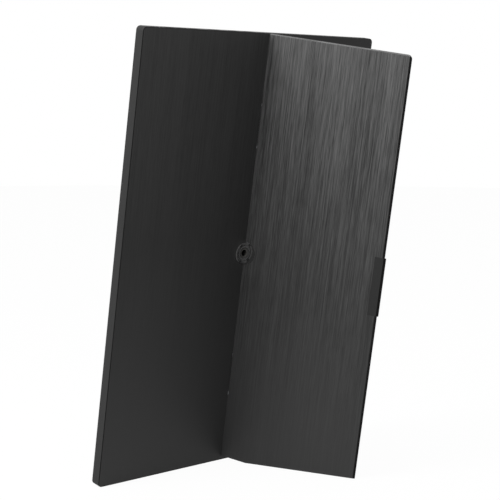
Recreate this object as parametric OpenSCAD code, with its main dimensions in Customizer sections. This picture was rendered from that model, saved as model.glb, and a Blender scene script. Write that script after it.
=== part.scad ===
// Portable monitor with a hinged back flap, standing upright on its short side.
// Everything is drawn lying in the monitor's own frame: X across the hinge line,
// Y from the screen (0) to the back (case_t), Z along the long side. The module
// stance() then leans the monitor back onto the floor at Z = 0.

/* [Screen] */
// Visible screen across the hinge line
screen_w = 215.4; // [210:0.1:220]
// Visible screen along the hinge line
screen_l = 344.7; // [330:0.1:360]
// Border between the screen and the plain long side
side_border = 7.5; // [7:0.1:9]
// Border between the screen and the long side with the screen's drivers
driver_border = 25.1; // [23:0.1:27]
// Border between the screen and each short side
end_border = 7.65; // [6.5:0.05:9]
// Thickness of the foam gasket behind the bezel's lip
gasket_t = 0.3; // [0.2:0.1:0.3]
// Thickness of the display cell
cell_t = 0.6; // [0.5:0.1:0.6]
// Thickness of the prism sheet
prism_t = 0.2; // [0.1:0.05:0.2]
// Thickness of the diffuser sheet
diffuser_t = 0.25; // [0.15:0.05:0.25]
// Thickness of the light guide
guide_t = 0.8; // [0.6:0.1:0.8]
// Thickness of the reflector sheet
reflector_t = 0.15; // [0.1:0.05:0.15]
// Thickness of the metal tray behind the screen
tray_t = 0.3; // [0.2:0.1:0.3]
// Lights along the edge of the light guide
led_count = 24; // [12:4:36]

/* [Case] */
// Thickness of the monitor with the kickstand shut
case_t = 9; // [9:0.1:10]
// Radius of the corners seen from the front
corner_r = 3.5; // [2:0.5:6]
// Thickness of the side walls
wall = 1.6; // [1.4:0.1:2]
// Thickness of the rear cover's floor
floor_t = 1; // [0.8:0.1:1.1]
// Thickness of the metal back panel
back_skin = 1; // [0.8:0.1:1.1]
// Depth of the bezel's skirt, front to parting line
bezel_t = 1.4; // [1.2:0.1:1.8]
// Thickness of the bezel's lip round the screen
bezel_lip = 0.6; // [0.4:0.1:0.6]
// Width of the bevel on the back panel's edges
edge_bevel = 0.5; // [0.2:0.1:0.7]

/* [Kickstand] */
// Place of the hinge line, from the middle of the case
hinge_x = -2; // [-4:0.5:1]
// Thickness of the kickstand's metal skin
stand_skin = 1; // [0.8:0.1:1]
// Thickness of the kickstand's inner liner
stand_liner = 0.8; // [0.7:0.1:0.8]
// Width of the bright bevel on the kickstand's edges
stand_bevel = 0.8; // [0.3:0.1:0.9]
// Gap between the shut kickstand and the case
stand_gap = 0.3; // [0.2:0.05:0.4]
// Height of the kickstand's square foot corner beside the hinge
stand_step = 3.8; // [3:0.1:5]
// Angle that the kickstand is opened to
stand_open = 70.5; // [60:0.5:80]
// Length of the rubber foot on the kickstand's edge
foot_len = 47; // [30:1:60]
// Width of the rubber foot on the kickstand's face
foot_w = 8; // [5:0.5:10]
// Distance from the middle of the case down to the rubber foot's middle
foot_drop = 2; // [-10:1:10]
// Amount that the rubber foot stands out of the edge
foot_out = 0.9; // [0.4:0.1:1.2]
// Amount that the rubber foot stands out of the face
foot_up = 0.25; // [0.1:0.05:0.4]

/* [Stance] */
// Lean of the monitor from upright
lean = 9.4; // [7:0.1:12]
// Amount that the lowest edge is flattened where it meets the floor
rest_flat = 0.15; // [0.1:0.01:0.16]

/* [Hinges] */
// Distance from each short side to the middle of the nearer hinge
hinge_inset = 75; // [70:1:85]
// Length of each hinge track
track_len = 36; // [30:1:40]
// Inner radius of the curved rail about the hinge line
rail_r = 4; // [3.9:0.05:4]
// Thickness of the curved rail
rail_t = 1; // [0.8:0.05:1]
// Running clearance between the rail and its track
rail_gap = 0.1; // [0.05:0.01:0.1]
// Length of the arm's leaf on the kickstand
leaf_len = 22; // [18:1:30]
// Thickness of the steel spine that carries the hinges
spine_t = 0.8; // [0.6:0.1:0.8]

/* [Tripod socket] */
// Radius of the threaded hole's wall
thread_r = 2.6; // [2.5:0.05:2.6]
// Depth of the threaded hole
thread_len = 5; // [4.5:0.1:5]
// Outer radius of the round collar
collar_r = 9; // [8:0.5:10]

/* [Ports and buttons] */
// Distance from the plain long side to the first charging port
usb1_in = 106; // [104:1:108]
// Distance from the plain long side to the second charging port
usb2_in = 90; // [88:1:92]
// Distance from the plain long side to the video port
video_in = 70; // [68:1:72]
// Distance from the plain long side to the menu button
menu_in = 50; // [49:1:52]
// Distance from the plain long side to the select button
select_in = 38; // [37:1:39]
// Distance from the plain long side to the power button
power_in = 26; // [25:1:27]
// Width of a button's cap
button_w = 8; // [6:0.5:8]
// Height of a button's cap
button_h = 2.2; // [1.8:0.1:2.2]
// Amount that a button stands out of the case
button_out = 0.3; // [0.1:0.1:0.5]
// Travel of a button
button_travel = 0.3; // [0.2:0.05:0.35]
// Clearance round a button's cap
button_gap = 0.2; // [0.1:0.05:0.3]

/* [Hidden] */
$fn = 64;

// Sizes and walls of the case
case_w = screen_w + side_border + driver_border;
case_l = screen_l + 2 * end_border;
x_left = -case_w / 2;
x_right = case_w / 2;
in_left = x_left + wall;
in_right = x_right - wall;
in_low = wall;
in_high = case_l - wall;
mid_z = case_l / 2;

// Levels through the thickness, from the screen to the back
cell_y = bezel_lip + gasket_t;
prism_y = cell_y + cell_t;
diffuser_y = prism_y + prism_t;
guide_y = diffuser_y + diffuser_t;
reflector_y = guide_y + guide_t;
tray_y = reflector_y + reflector_t;
module_back = tray_y + tray_t;
track_wall = 0.6;
spine_y = case_t - rail_r - rail_t - rail_gap - track_wall;
spine_back = spine_y + spine_t;
stand_t = stand_skin + stand_liner;
recess_y = case_t - stand_t - stand_gap;
recess_in = recess_y - floor_t;
cover_y = case_t - back_skin;
cover_in = cover_y - floor_t;

// Slant that the kickstand's foot follows when it stands on the floor
function slant_z(s) = (s * sin(stand_open) * sin(lean) + rest_flat) / cos(lean);
stand_reach = hinge_x - x_left;
foot_z = mid_z - foot_drop;
kink_s = (stand_step * cos(lean) - rest_flat) / (sin(stand_open) * sin(lean));
half_gap = stand_gap / 2;

// Overlap of shapes that are joined, and the reach of cuts past a face
lap = 1;
// Height of the block that trims what would be under the floor
floor_cut = 20;

// Rubber strips on the long edge that the monitor stands on when it is used sideways
edge_foot_out = 0.5;
edge_foot_in = 0.8;
edge_foot_end = 50;
edge_foot_zs = [edge_foot_end, case_l - edge_foot_end];
edge_foot_len = 40;
edge_foot_y0 = 2.4;
edge_foot_y1 = 5.4;
foot_backing = 1;

// Middle of the standing object's box, so that the origin is under its middle
reach_y = cos(lean) * sin(stand_open);
far_y = (stand_reach - corner_r) * reach_y + (case_l - corner_r) * sin(lean)
    + corner_r * sqrt(reach_y * reach_y + sin(lean) * sin(lean));
near_y = -case_t * cos(lean);
origin_y = -(far_y + near_y) / 2;
origin_x = edge_foot_out / 2;

// Ribs inside the front bezel
snap_rib_t = 0.8;
snap_rib_len = 8;
snap_rib_in = 1.5;
snap_rib_end = 60;
snap_rib_step = 80;
snap_rib_far = snap_rib_end + snap_rib_step;
snap_rib_zs = [snap_rib_end, snap_rib_far, case_l - snap_rib_far, case_l - snap_rib_end];
carrier_rib_w = 2;

// Screen module
gasket_w = 2;
gasket_reach = 2.5;
screen_right = x_right - side_border;
screen_left = screen_right - screen_w;
screen_low = end_border;
module_border = 3.5;
led_border = 9;
module_left = screen_left - led_border;
module_right = screen_right + module_border;
module_low = screen_low - module_border;
module_high = case_l - module_low;
frame_w = 1.7;
tray_rim = 0.3;
sheet_inset = tray_rim + frame_w;
led_room = 2.4;
led_w = 0.9;
led_len = 3;
flex_t = 0.15;
flex_w = 22;
flex_count = 4;
flex_margin = 20;

// Circuit boards
board_t = 0.8;
driver_side = 2;
driver_left = in_left + driver_side;
driver_w = 8;
driver_grip = 2;
driver_low = 40;
driver_end = 15;
driver_high = case_l - driver_end;
board_y = 3.9;
board_back = board_y + board_t;
board_w = 104;
board_l = 30.5;
board_side = 12;
board_end = 3.5;
board_x1 = x_right - board_side;
board_x0 = board_x1 - board_w;
board_z1 = case_l - board_end;
board_z0 = board_z1 - board_l;
board_screw_in = 4;
board_screw_xs = [board_x0 + board_screw_in, board_x1 - board_screw_in];
board_screw_z = board_z0 + board_screw_in;
insulation_t = 0.1;
insulation_inset = 0.5;
cable_t = 0.2;
cable_w = 12;
cable_end = 26;
cable_z = case_l - cable_end;
cable_y = module_back + insulation_t;
cable_fold = 4;
// Each chip as its middle across and along the board, its width, length and height
chips = [[22, 13, 9, 9, 0.9], [42, 12, 6, 6, 0.8], [84, 12, 7, 5, 0.8], [54, 8, 5, 5, 1.2],
    [66, 8, 5, 5, 1.2], [32, 7, 4, 3, 0.7]];
main_chip = chips[0];
thermal_pad_w = 8;
can_w = 14;
can_t = 0.2;
can_h = 1.4;

// Hinges
hinge_low = hinge_inset;
hinge_high = case_l - hinge_inset;
rail_out = rail_r + rail_t;
track_r = rail_out + rail_gap + track_wall;
rail_start = 195.5;
rail_end = 338;
track_start = 203;
track_end = 342;
end_plate = 1.2;
side_play = 0.2;
pad_t = 0.3;
pad_gap = 0.05;
pad_len = 15.6;
pad_start = 236;
pad_end = 304;
pocket_gap = 0.2;
pocket_turn = 1;
flange_t = 0.8;
flange_in = 3;
flange_out = 14;
track_sunk = 0.2;
hinge_screw_x = 10;
hinge_screw_z = 12;
hinge_head_t = 0.7;
small_screw_r = 0.98;
small_head_r = 1.8;
sunk_head_t = 0.4;
head_gap = 0.05;
screw_hole_r = 1;
screw_clear_r = 1.1;
spine_half_w = 28;
spine_z0 = 40;
spine_z1 = case_l - spine_z0;
spine_screw_x = 23;
spine_screw_end = 48;
spine_screw_step = 80;
spine_screw_far = spine_screw_end + spine_screw_step;
spine_screw_zs = [spine_screw_end, spine_screw_far, case_l - spine_screw_far,
    case_l - spine_screw_end];
boss_r = 2.4;
leaf_start = 3.6;
leaf_x1 = hinge_x - leaf_start;
leaf_x0 = leaf_x1 - leaf_len;
leaf_gap = 0.1;
liner_inset = 0.6;
arm_screw_z = 11;
arm_screw_near = 5;
arm_screw_far = 4;
arm_screw_r = 0.8;
arm_head_r = 1.5;
arm_head_t = 0.4;
arm_screw_in = 0.7;
arm_tip_gap = 0.1;

// Tripod socket
insert_r = 4.2;
insert_flange_r = 7;
insert_flange_t = 1;
insert_sunk = 0.4;
insert_mouth = case_t - insert_sunk;
collar_gap = 0.1;
mouth_bevel = 0.9;
groove_rim = 1.4;
groove_w = 0.8;
groove_out = collar_r - groove_rim;
groove_in = groove_out - groove_w;
groove_t = 0.4;
notch_gap = 0.5;

// Ports and buttons
usb_x1 = x_right - usb1_in;
usb_x2 = x_right - usb2_in;
video_x = x_right - video_in;
menu_x = x_right - menu_in;
select_x = x_right - select_in;
power_x = x_right - power_in;
port_sunk = 0.4;
port_mouth = case_l - port_sunk;
port_depth = 7.3;
port_back_t = 1;
port_y = 5.3;
usb_w = 8.94;
usb_h = 3.2;
shell_t = 0.3;
video_w = 11.2;
video_h = 3.1;
port_gap = 0.15;
usb_tongue_w = 6.6;
video_tongue_w = 8.4;
tongue_t = 0.7;
tongue_in = 0.8;
button_y = 5.6;
flange_side = 0.8;
flange_play = 0.1;
cap_flange_t = 0.6;
stem_r = 0.9;
stem_room = 1.2;
stem_end = in_high - stem_room;
stroke_gap = 0.4;
switch_w = 5;
switch_d = 2.6;
switch_h = 2;
switch_top = stem_end - button_travel - stroke_gap;
plunger_r = 0.6;
plunger_in = 0.6;
plunger_gap = 0.1;
pipe_in = 17;
pipe_x = x_right - pipe_in;
pipe_r = 0.7;
pipe_gap = 0.05;
pipe_collar_r = 1.2;
pipe_collar_t = 1.6;
pipe_block_w = 2;
pipe_block_l = 1.5;

// A box between two corners
module box(x0, x1, y0, y1, z0, z1)
    translate([x0, y0, z0]) cube([x1 - x0, y1 - y0, z1 - z0]);

// A round bar from the front towards the back
module rod_y(x, z, r, y0, y1)
    translate([x, y0, z]) rotate([-90, 0, 0]) cylinder(r = r, h = y1 - y0);

// A round bar along the long side
module rod_z(x, y, r, z0, z1)
    translate([x, y, z0]) cylinder(r = r, h = z1 - z0);

// A flat plate with an outline given in X and Z
module plate_xz(points, y0, y1)
    translate([0, y1, 0]) rotate([90, 0, 0]) linear_extrude(height = y1 - y0) polygon(points);

// A slab with four rounded corners
module slab(x0, x1, z0, z1, r, y0, y1) {
    box(x0 + r, x1 - r, y0, y1, z0, z1);
    box(x0, x1, y0, y1, z0 + r, z1 - r);
    for (x = [x0 + r, x1 - r], z = [z0 + r, z1 - r]) rod_y(x, z, r, y0, y1);
}

// A rectangular ring
module ring(x0, x1, z0, z1, w, y0, y1) difference() {
    box(x0, x1, y0, y1, z0, z1);
    box(x0 + w, x1 - w, y0 - 1, y1 + 1, z0 + w, z1 - w);
}

// A bar with round ends, its length across the hinge line
module oval_z(x, y, w, h, z0, z1) {
    box(x - w / 2 + h / 2, x + w / 2 - h / 2, y - h / 2, y + h / 2, z0, z1);
    for (side = [-1, 1]) rod_z(x + side * (w - h) / 2, y, h / 2, z0, z1);
}

// A piece of a round shell about the hinge line
module arc(r_in, r_out, a0, a1, z0, z1)
    translate([hinge_x, case_t, z0]) rotate([0, 0, a0])
        rotate_extrude(angle = a1 - a0, $fn = 96)
            translate([r_in, 0]) square([r_out - r_in, z1 - z0]);

// Square bar that bevels the back edge that runs along X at height z
module bevel_x(x0, x1, z, w)
    translate([x0, case_t, z]) rotate([45, 0, 0])
        translate([0, -w * sqrt(0.5), -w * sqrt(0.5)])
            cube([x1 - x0, w * sqrt(2), w * sqrt(2)]);

// Square bar that bevels the back edge that runs along Z at x
module bevel_z(x, z0, z1, w)
    translate([x, case_t, z0]) rotate([0, 0, 45])
        translate([-w * sqrt(0.5), -w * sqrt(0.5), 0])
            cube([w * sqrt(2), w * sqrt(2), z1 - z0]);

// Leans the monitor back and puts its lowest edge on the floor
module stance()
    translate([origin_x, origin_y, -rest_flat]) rotate([-lean, 0, 0])
        translate([0, -case_t, 0]) children();

// Turns the kickstand about the hinge line
module opened()
    translate([hinge_x, case_t, 0]) rotate([0, 0, -stand_open])
        translate([-hinge_x, -case_t, 0]) children();

// Cuts off what would be under the floor
module on_floor() difference() {
    children();
    translate([-case_w, -case_l, -floor_cut]) cube([2 * case_w, 2 * case_l, floor_cut]);
}

// Part of the back that the shut kickstand leaves bare
module back_outline(y0, y1) intersection() {
    slab(x_left, x_right, 0, case_l, corner_r, y0, y1);
    union() {
        box(hinge_x + half_gap, x_right, y0, y1, 0, case_l);
        plate_xz([[x_left, 0], [hinge_x + lap, 0], [hinge_x + lap, stand_step - stand_gap],
            [hinge_x - kink_s, stand_step - stand_gap],
            [x_left, slant_z(stand_reach) - stand_gap]], y0, y1);
    }
}

module front_bezel() color("#1b1b1d") stance() {
    difference() {
        slab(x_left, x_right, 0, case_l, corner_r, 0, bezel_t);
        box(screen_left, screen_right, -lap, bezel_t, screen_low, case_l - screen_low);
        slab(in_left, in_right, in_low, in_high, corner_r - wall, bezel_lip, bezel_t + lap);
    }
    // Snap ribs that hold the bezel in the rear cover
    for (z = snap_rib_zs, x = [in_left, in_right - snap_rib_t])
        box(x, x + snap_rib_t, bezel_lip, bezel_t + snap_rib_in,
            z - snap_rib_len / 2, z + snap_rib_len / 2);
    // Ribs that carry the driver board
    for (x = [driver_left, driver_left + driver_w - carrier_rib_w])
        box(x, x + carrier_rib_w, bezel_lip, prism_y, driver_low, driver_low + snap_rib_len);
    for (x = [driver_left, driver_left + driver_w - carrier_rib_w])
        box(x, x + carrier_rib_w, bezel_lip, prism_y, driver_high - snap_rib_len, driver_high);
}

module screw_boss(x, z, y0, y1) rod_y(x, z, boss_r, y0, y1);

module rear_cover() color("#2a2a2c") stance() difference() {
    union() {
        difference() {
            union() {
                slab(x_left, x_right, 0, case_l, corner_r, bezel_t, recess_y);
                back_outline(recess_y, cover_y);
            }
            slab(in_left, in_right, in_low, in_high, corner_r - wall, 0, recess_in);
            box(hinge_x + half_gap + floor_t, in_right, recess_in - lap, cover_in,
                in_low, in_high);
        }
        for (z = spine_screw_zs) {
            screw_boss(hinge_x - spine_screw_x, z, spine_back, recess_y - floor_t / 2);
            screw_boss(hinge_x + spine_screw_x, z, spine_back, cover_y - floor_t / 2);
        }
        for (x = board_screw_xs)
            screw_boss(x, board_screw_z, board_back, cover_y - floor_t / 2);
        // Thick wall that backs the feet on the long edge
        for (z = edge_foot_zs)
            box(in_left - floor_t / 2, in_left + foot_backing, edge_foot_y0 + lap,
                recess_in + floor_t / 2, z - edge_foot_len / 2 - lap,
                z + edge_foot_len / 2 + lap);
    }
    for (z = spine_screw_zs) {
        rod_y(hinge_x - spine_screw_x, z, screw_hole_r, 0, recess_y - floor_t);
        rod_y(hinge_x + spine_screw_x, z, screw_hole_r, 0, cover_in);
    }
    for (x = board_screw_xs) rod_y(x, board_screw_z, screw_hole_r, 0, cover_in);
    // Windows for the hinge tracks
    for (z = [hinge_low, hinge_high])
        box(hinge_x - track_r - side_play, hinge_x + track_r + side_play, 0, case_t,
            z - track_len / 2 - side_play, z + track_len / 2 + side_play);
    rod_y(hinge_x, mid_z, collar_r + collar_gap, 0, case_t);
    // Mouths of the ports and buttons
    for (x = [usb_x1, usb_x2])
        oval_z(x, port_y, usb_w + 2 * port_gap, usb_h + 2 * port_gap, in_high - lap,
            case_l + lap);
    box(video_x - video_w / 2 - port_gap, video_x + video_w / 2 + port_gap,
        port_y - video_h / 2 - port_gap, port_y + video_h / 2 + port_gap,
        in_high - lap, case_l + lap);
    for (x = [menu_x, select_x, power_x])
        oval_z(x, button_y, button_w + 2 * button_gap, button_h + 2 * button_gap,
            in_high - lap, case_l + lap);
    rod_z(pipe_x, button_y, pipe_r + pipe_gap, in_high - lap, case_l + lap);
    for (z = edge_foot_zs) edge_foot(z);
}

module edge_foot(z)
    box(x_left - edge_foot_out, x_left + edge_foot_in, edge_foot_y0, edge_foot_y1,
        z - edge_foot_len / 2, z + edge_foot_len / 2);

module edge_feet() color("#101010") stance() for (z = edge_foot_zs) edge_foot(z);

module back_panel() color("#3a3a3d") on_floor() stance() difference() {
    back_outline(cover_y, case_t);
    rod_y(hinge_x, mid_z, collar_r + collar_gap, 0, case_t + lap);
    bevel_z(x_right, -lap, case_l + lap, edge_bevel);
    bevel_x(x_left, x_right + lap, case_l, edge_bevel);
}

module display_gasket() color("#161616") stance()
    ring(screen_left - gasket_reach, screen_right + gasket_reach, screen_low - gasket_reach,
        case_l - screen_low + gasket_reach, gasket_w, bezel_lip, cell_y);

module display_cell() color("#08090b") stance()
    box(module_left + tray_rim, module_right - tray_rim, cell_y, prism_y,
        module_low + tray_rim, module_high - tray_rim);

module sheet(y0, y1)
    box(module_left + sheet_inset + led_room, module_right - sheet_inset, y0, y1,
        module_low + sheet_inset, module_high - sheet_inset);

module prism_sheet() color("#e6ecef") stance() sheet(prism_y, diffuser_y);

module diffuser_sheet() color("#f4f4f2") stance() sheet(diffuser_y, guide_y);

module light_guide() color("#dbe7ea") stance() sheet(guide_y, reflector_y);

module reflector_sheet() color("#ffffff") stance() sheet(reflector_y, tray_y);

module led_strip() color("#e8e2c8") stance()
    box(module_left + sheet_inset, module_left + sheet_inset + led_room - led_w,
        guide_y, reflector_y, module_low + sheet_inset, module_high - sheet_inset);

module leds() color("#f6f0a8") stance()
    for (i = [0 : led_count - 1]) {
        z = screen_low + i * (screen_l - led_len) / (led_count - 1);
        box(module_left + sheet_inset + led_room - led_w, module_left + sheet_inset + led_room,
            guide_y, reflector_y, z, z + led_len);
    }

module panel_frame() color("#dadada") stance()
    ring(module_left + tray_rim, module_right - tray_rim, module_low + tray_rim,
        module_high - tray_rim, frame_w, prism_y, tray_y);

module panel_tray() color("#9a9da0") stance() difference() {
    box(module_left, module_right, cell_y + cell_t / 2, module_back, module_low, module_high);
    box(module_left + tray_rim, module_right - tray_rim, 0, tray_y,
        module_low + tray_rim, module_high - tray_rim);
    // Open along the edge that the flexes leave by
    box(module_left - lap, module_left + tray_rim + lap, 0, prism_y, driver_low, driver_high);
}

module driver_board() color("#1d5a36") stance()
    box(driver_left, driver_left + driver_w, prism_y, prism_y + board_t,
        driver_low, driver_high);

module driver_flexes() color("#b07a3a") stance()
    for (i = [0 : flex_count - 1]) {
        run = driver_high - driver_low - 2 * flex_margin - flex_w;
        z = driver_low + flex_margin + i * run / (flex_count - 1);
        box(driver_left + driver_grip, module_left + tray_rim, prism_y - flex_t, prism_y,
            z, z + flex_w);
    }

module display_cable() color("#caa24a") stance() {
    x0 = driver_left + driver_grip;
    x1 = board_x0 + 2 * cable_fold;
    box(x0, x1, cable_y, cable_y + cable_t, cable_z, cable_z + cable_w);
    box(x0, x0 + cable_fold, prism_y + board_t, cable_y, cable_z, cable_z + cable_w);
    box(x1 - cable_fold, x1, cable_y + cable_t, board_y, cable_z, cable_z + cable_w);
}

module main_board() color("#1d5a36") stance() difference() {
    box(board_x0, board_x1, board_y, board_back, board_z0, board_z1);
    for (x = board_screw_xs) rod_y(x, board_screw_z, screw_clear_r, 0, case_t);
    for (x = [usb_x1, usb_x2])
        box(x - usb_w / 2, x + usb_w / 2, 0, case_t, port_mouth - port_depth, case_l);
    box(video_x - video_w / 2, video_x + video_w / 2, 0, case_t,
        port_mouth - port_depth, case_l);
}

module board_chips() color("#222222") stance()
    for (c = chips)
        box(board_x0 + c[0] - c[2] / 2, board_x0 + c[0] + c[2] / 2, board_back,
            board_back + c[4], board_z0 + c[1] - c[3] / 2, board_z0 + c[1] + c[3] / 2);

// A square block over the middle of the main chip
module over_chip(w, y0, y1)
    box(board_x0 + main_chip[0] - w / 2, board_x0 + main_chip[0] + w / 2, y0, y1,
        board_z0 + main_chip[1] - w / 2, board_z0 + main_chip[1] + w / 2);

module shield_can() color("#b9bcc0") stance() difference() {
    over_chip(can_w, board_back, board_back + can_h);
    over_chip(can_w - 2 * can_t, board_back - lap, board_back + can_h - can_t);
}

module thermal_pad() color("#8fa6b8") stance()
    over_chip(thermal_pad_w, board_back + main_chip[4], board_back + can_h - can_t);

module insulation_sheet() color("#15171a") stance()
    box(board_x0 + insulation_inset, board_x1 - insulation_inset, module_back, cable_y,
        board_z0 + insulation_inset, module_high - insulation_inset);

// Contact tongue inside a port
module port_tongue(x, w)
    box(x - w / 2, x + w / 2, port_y - tongue_t / 2, port_y + tongue_t / 2,
        port_mouth - port_depth + port_back_t / 2, port_mouth - tongue_in);

// Shell and tongue of a charging port
module usb_port(x) {
    difference() {
        oval_z(x, port_y, usb_w, usb_h, port_mouth - port_depth, port_mouth);
        oval_z(x, port_y, usb_w - 2 * shell_t, usb_h - 2 * shell_t,
            port_mouth - port_depth + port_back_t, port_mouth + lap);
    }
    port_tongue(x, usb_tongue_w);
}

module usb_c_ports() color("#aeb2b6") stance()
    for (x = [usb_x1, usb_x2]) usb_port(x);

module video_port() color("#aeb2b6") stance() {
    difference() {
        box(video_x - video_w / 2, video_x + video_w / 2, port_y - video_h / 2,
            port_y + video_h / 2, port_mouth - port_depth, port_mouth);
        box(video_x - video_w / 2 + shell_t, video_x + video_w / 2 - shell_t,
            port_y - video_h / 2 + shell_t, port_y + video_h / 2 - shell_t,
            port_mouth - port_depth + port_back_t, port_mouth + lap);
    }
    port_tongue(video_x, video_tongue_w);
}

// Housing of a push switch with its plunger's hole
module switch_body(x) difference() {
    box(x - switch_w / 2, x + switch_w / 2, board_back, board_back + switch_h,
        switch_top - switch_d, switch_top);
    rod_z(x, button_y, plunger_r + plunger_gap,
        switch_top - plunger_in - button_travel - plunger_gap, switch_top + lap);
}

module switch_bodies() color("#c9c9c4") stance()
    for (x = [menu_x, select_x, power_x]) switch_body(x);

module plunger(x) rod_z(x, button_y, plunger_r, switch_top - plunger_in, stem_end);

// Cap, retaining flange and stem of a button
module button(x) {
    flange_top = in_high - flange_play;
    oval_z(x, button_y, button_w, button_h, flange_top, case_l + button_out);
    box(x - button_w / 2 - flange_side, x + button_w / 2 + flange_side,
        button_y - button_h / 2, button_y + button_h / 2, flange_top - cap_flange_t, flange_top);
    rod_z(x, button_y, stem_r, stem_end, flange_top);
}

module power_button() color("#1a1a1b") stance() button(power_x);
module menu_button() color("#1a1a1b") stance() button(menu_x);
module select_button() color("#1a1a1b") stance() button(select_x);
module power_plunger() color("#b03030") stance() plunger(power_x);
module menu_plunger() color("#b03030") stance() plunger(menu_x);
module select_plunger() color("#b03030") stance() plunger(select_x);

module light_pipe() color("#e9eef2") stance() {
    rod_z(pipe_x, button_y, pipe_r, in_high - pipe_collar_t, case_l);
    rod_z(pipe_x, button_y, pipe_collar_r, in_high - pipe_collar_t, in_high);
    box(pipe_x - pipe_block_w / 2, pipe_x + pipe_block_w / 2, board_back,
        button_y + pipe_r, in_high - pipe_collar_t - pipe_block_l, in_high - pipe_collar_t);
}

module spine_plate() color("#8b8f94") stance() difference() {
    box(hinge_x - spine_half_w, hinge_x + spine_half_w, spine_y, spine_back,
        spine_z0, spine_z1);
    for (z = spine_screw_zs, side = [-1, 1]) {
        rod_y(hinge_x + side * spine_screw_x, z, screw_clear_r, 0, case_t);
        rod_y(hinge_x + side * spine_screw_x, z, small_head_r + head_gap, 0,
            spine_y + sunk_head_t);
    }
    for (zc = [hinge_low, hinge_high]) {
        box(hinge_x - track_r - head_gap, hinge_x + track_r + head_gap, 0, case_t,
            zc - track_len / 2 - head_gap, zc + track_len / 2 + head_gap);
        for (x = [-1, 1], z = [-1, 1])
            rod_y(hinge_x + x * hinge_screw_x, zc + z * hinge_screw_z, screw_hole_r, 0, case_t);
    }
    rod_y(hinge_x, mid_z, insert_r + head_gap, 0, case_t);
}

// Fixed half of a hinge: a curved slot about the hinge line
module hinge_track(zc) {
    z0 = zc - track_len / 2;
    z1 = zc + track_len / 2;
    difference() {
        intersection() {
            rod_z(hinge_x, case_t, track_r, z0, z1);
            union() {
                box(hinge_x - track_r, hinge_x, 0, recess_y, z0, z1);
                box(hinge_x, hinge_x + track_r, 0, cover_y - track_sunk, z0, z1);
            }
        }
        arc(rail_r - rail_gap, rail_out + rail_gap, track_start, track_end,
            z0 + end_plate, z1 - end_plate);
        arc(rail_out, rail_out + pad_gap + pad_t, pad_start - pocket_turn,
            pad_end + pocket_turn, zc - pad_len / 2 - pocket_gap, zc + pad_len / 2 + pocket_gap);
    }
    for (side = [-1, 1]) difference() {
        box(hinge_x + min(side * flange_in, side * flange_out),
            hinge_x + max(side * flange_in, side * flange_out),
            spine_back, spine_back + flange_t, z0, z1);
        rod_z(hinge_x, case_t, rail_out + rail_gap, z0 - lap, z1 + lap);
        for (z = [-1, 1])
            rod_y(hinge_x + side * hinge_screw_x, zc + z * hinge_screw_z, screw_clear_r,
                0, case_t);
    }
}

module lower_hinge_track() color("#6e7276") stance() hinge_track(hinge_low);
module upper_hinge_track() color("#6e7276") stance() hinge_track(hinge_high);

module friction_pads() color("#c7b27a") stance()
    for (zc = [hinge_low, hinge_high])
        arc(rail_out + pad_gap, rail_out + pad_gap + pad_t, pad_start, pad_end,
            zc - pad_len / 2, zc + pad_len / 2);

// A screw with its head from y_head to y_seat and its tip at y_tip
module small_screw(x, z, y_head, y_seat, y_tip) {
    rod_y(x, z, small_head_r, min(y_head, y_seat), max(y_head, y_seat));
    rod_y(x, z, small_screw_r, min(y_seat, y_tip), max(y_seat, y_tip));
}

module spine_screws() color("#9fa3a8") stance()
    for (z = spine_screw_zs) {
        small_screw(hinge_x - spine_screw_x, z, spine_y, spine_y + sunk_head_t,
            recess_in - sunk_head_t);
        small_screw(hinge_x + spine_screw_x, z, spine_y, spine_y + sunk_head_t,
            cover_in - sunk_head_t);
    }

module track_screws() color("#9fa3a8") stance()
    for (zc = [hinge_low, hinge_high], x = [-1, 1], z = [-1, 1])
        small_screw(hinge_x + x * hinge_screw_x, zc + z * hinge_screw_z,
            spine_back + flange_t + hinge_head_t, spine_back + flange_t, spine_y);

module board_screws() color("#9fa3a8") stance()
    for (x = board_screw_xs)
        small_screw(x, board_screw_z, board_y - sunk_head_t, board_y, cover_in - sunk_head_t);

module tripod_insert() color("#a98b4c") stance() difference() {
    union() {
        rod_y(hinge_x, mid_z, insert_r, spine_y, insert_mouth);
        rod_y(hinge_x, mid_z, insert_flange_r, spine_back, spine_back + insert_flange_t);
    }
    rod_y(hinge_x, mid_z, thread_r, insert_mouth - thread_len, case_t);
}

module tripod_collar() color("#202022") stance() difference() {
    rod_y(hinge_x, mid_z, collar_r, spine_back + insert_flange_t, case_t);
    rod_y(hinge_x, mid_z, insert_r, 0, case_t + lap);
    translate([hinge_x, case_t - mouth_bevel - collar_gap, mid_z]) rotate([-90, 0, 0])
        cylinder(r1 = insert_r - collar_gap, r2 = insert_r + mouth_bevel + collar_gap,
            h = mouth_bevel + 2 * collar_gap);
    // Shallow groove round the collar's face
    difference() {
        rod_y(hinge_x, mid_z, groove_out, case_t - groove_t, case_t + lap);
        rod_y(hinge_x, mid_z, groove_in, 0, case_t + lap);
    }
}

// Outline of the kickstand as it lies shut, with its notch round the tripod socket
module stand_plate(y0, y1, x_out, r) difference() {
    union() {
        box(x_out + r, hinge_x - half_gap, y0, y1, stand_step, case_l);
        box(x_out, hinge_x - half_gap, y0, y1, stand_step, case_l - r);
        rod_y(x_out + r, case_l - r, r, y0, y1);
    }
    rod_y(hinge_x, mid_z, collar_r + notch_gap, 0, case_t + lap);
    box(x_left - lap, x_left + foot_w, 0, case_t + lap, foot_z - foot_len / 2,
        foot_z + foot_len / 2);
}

// Places of the screws that hold a hinge arm's leaf
function arm_screw_places(zc) =
    [for (x = [leaf_x0 + arm_screw_far, leaf_x1 - arm_screw_near], side = [-1, 1])
        [x, zc + side * arm_screw_z]];

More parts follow.
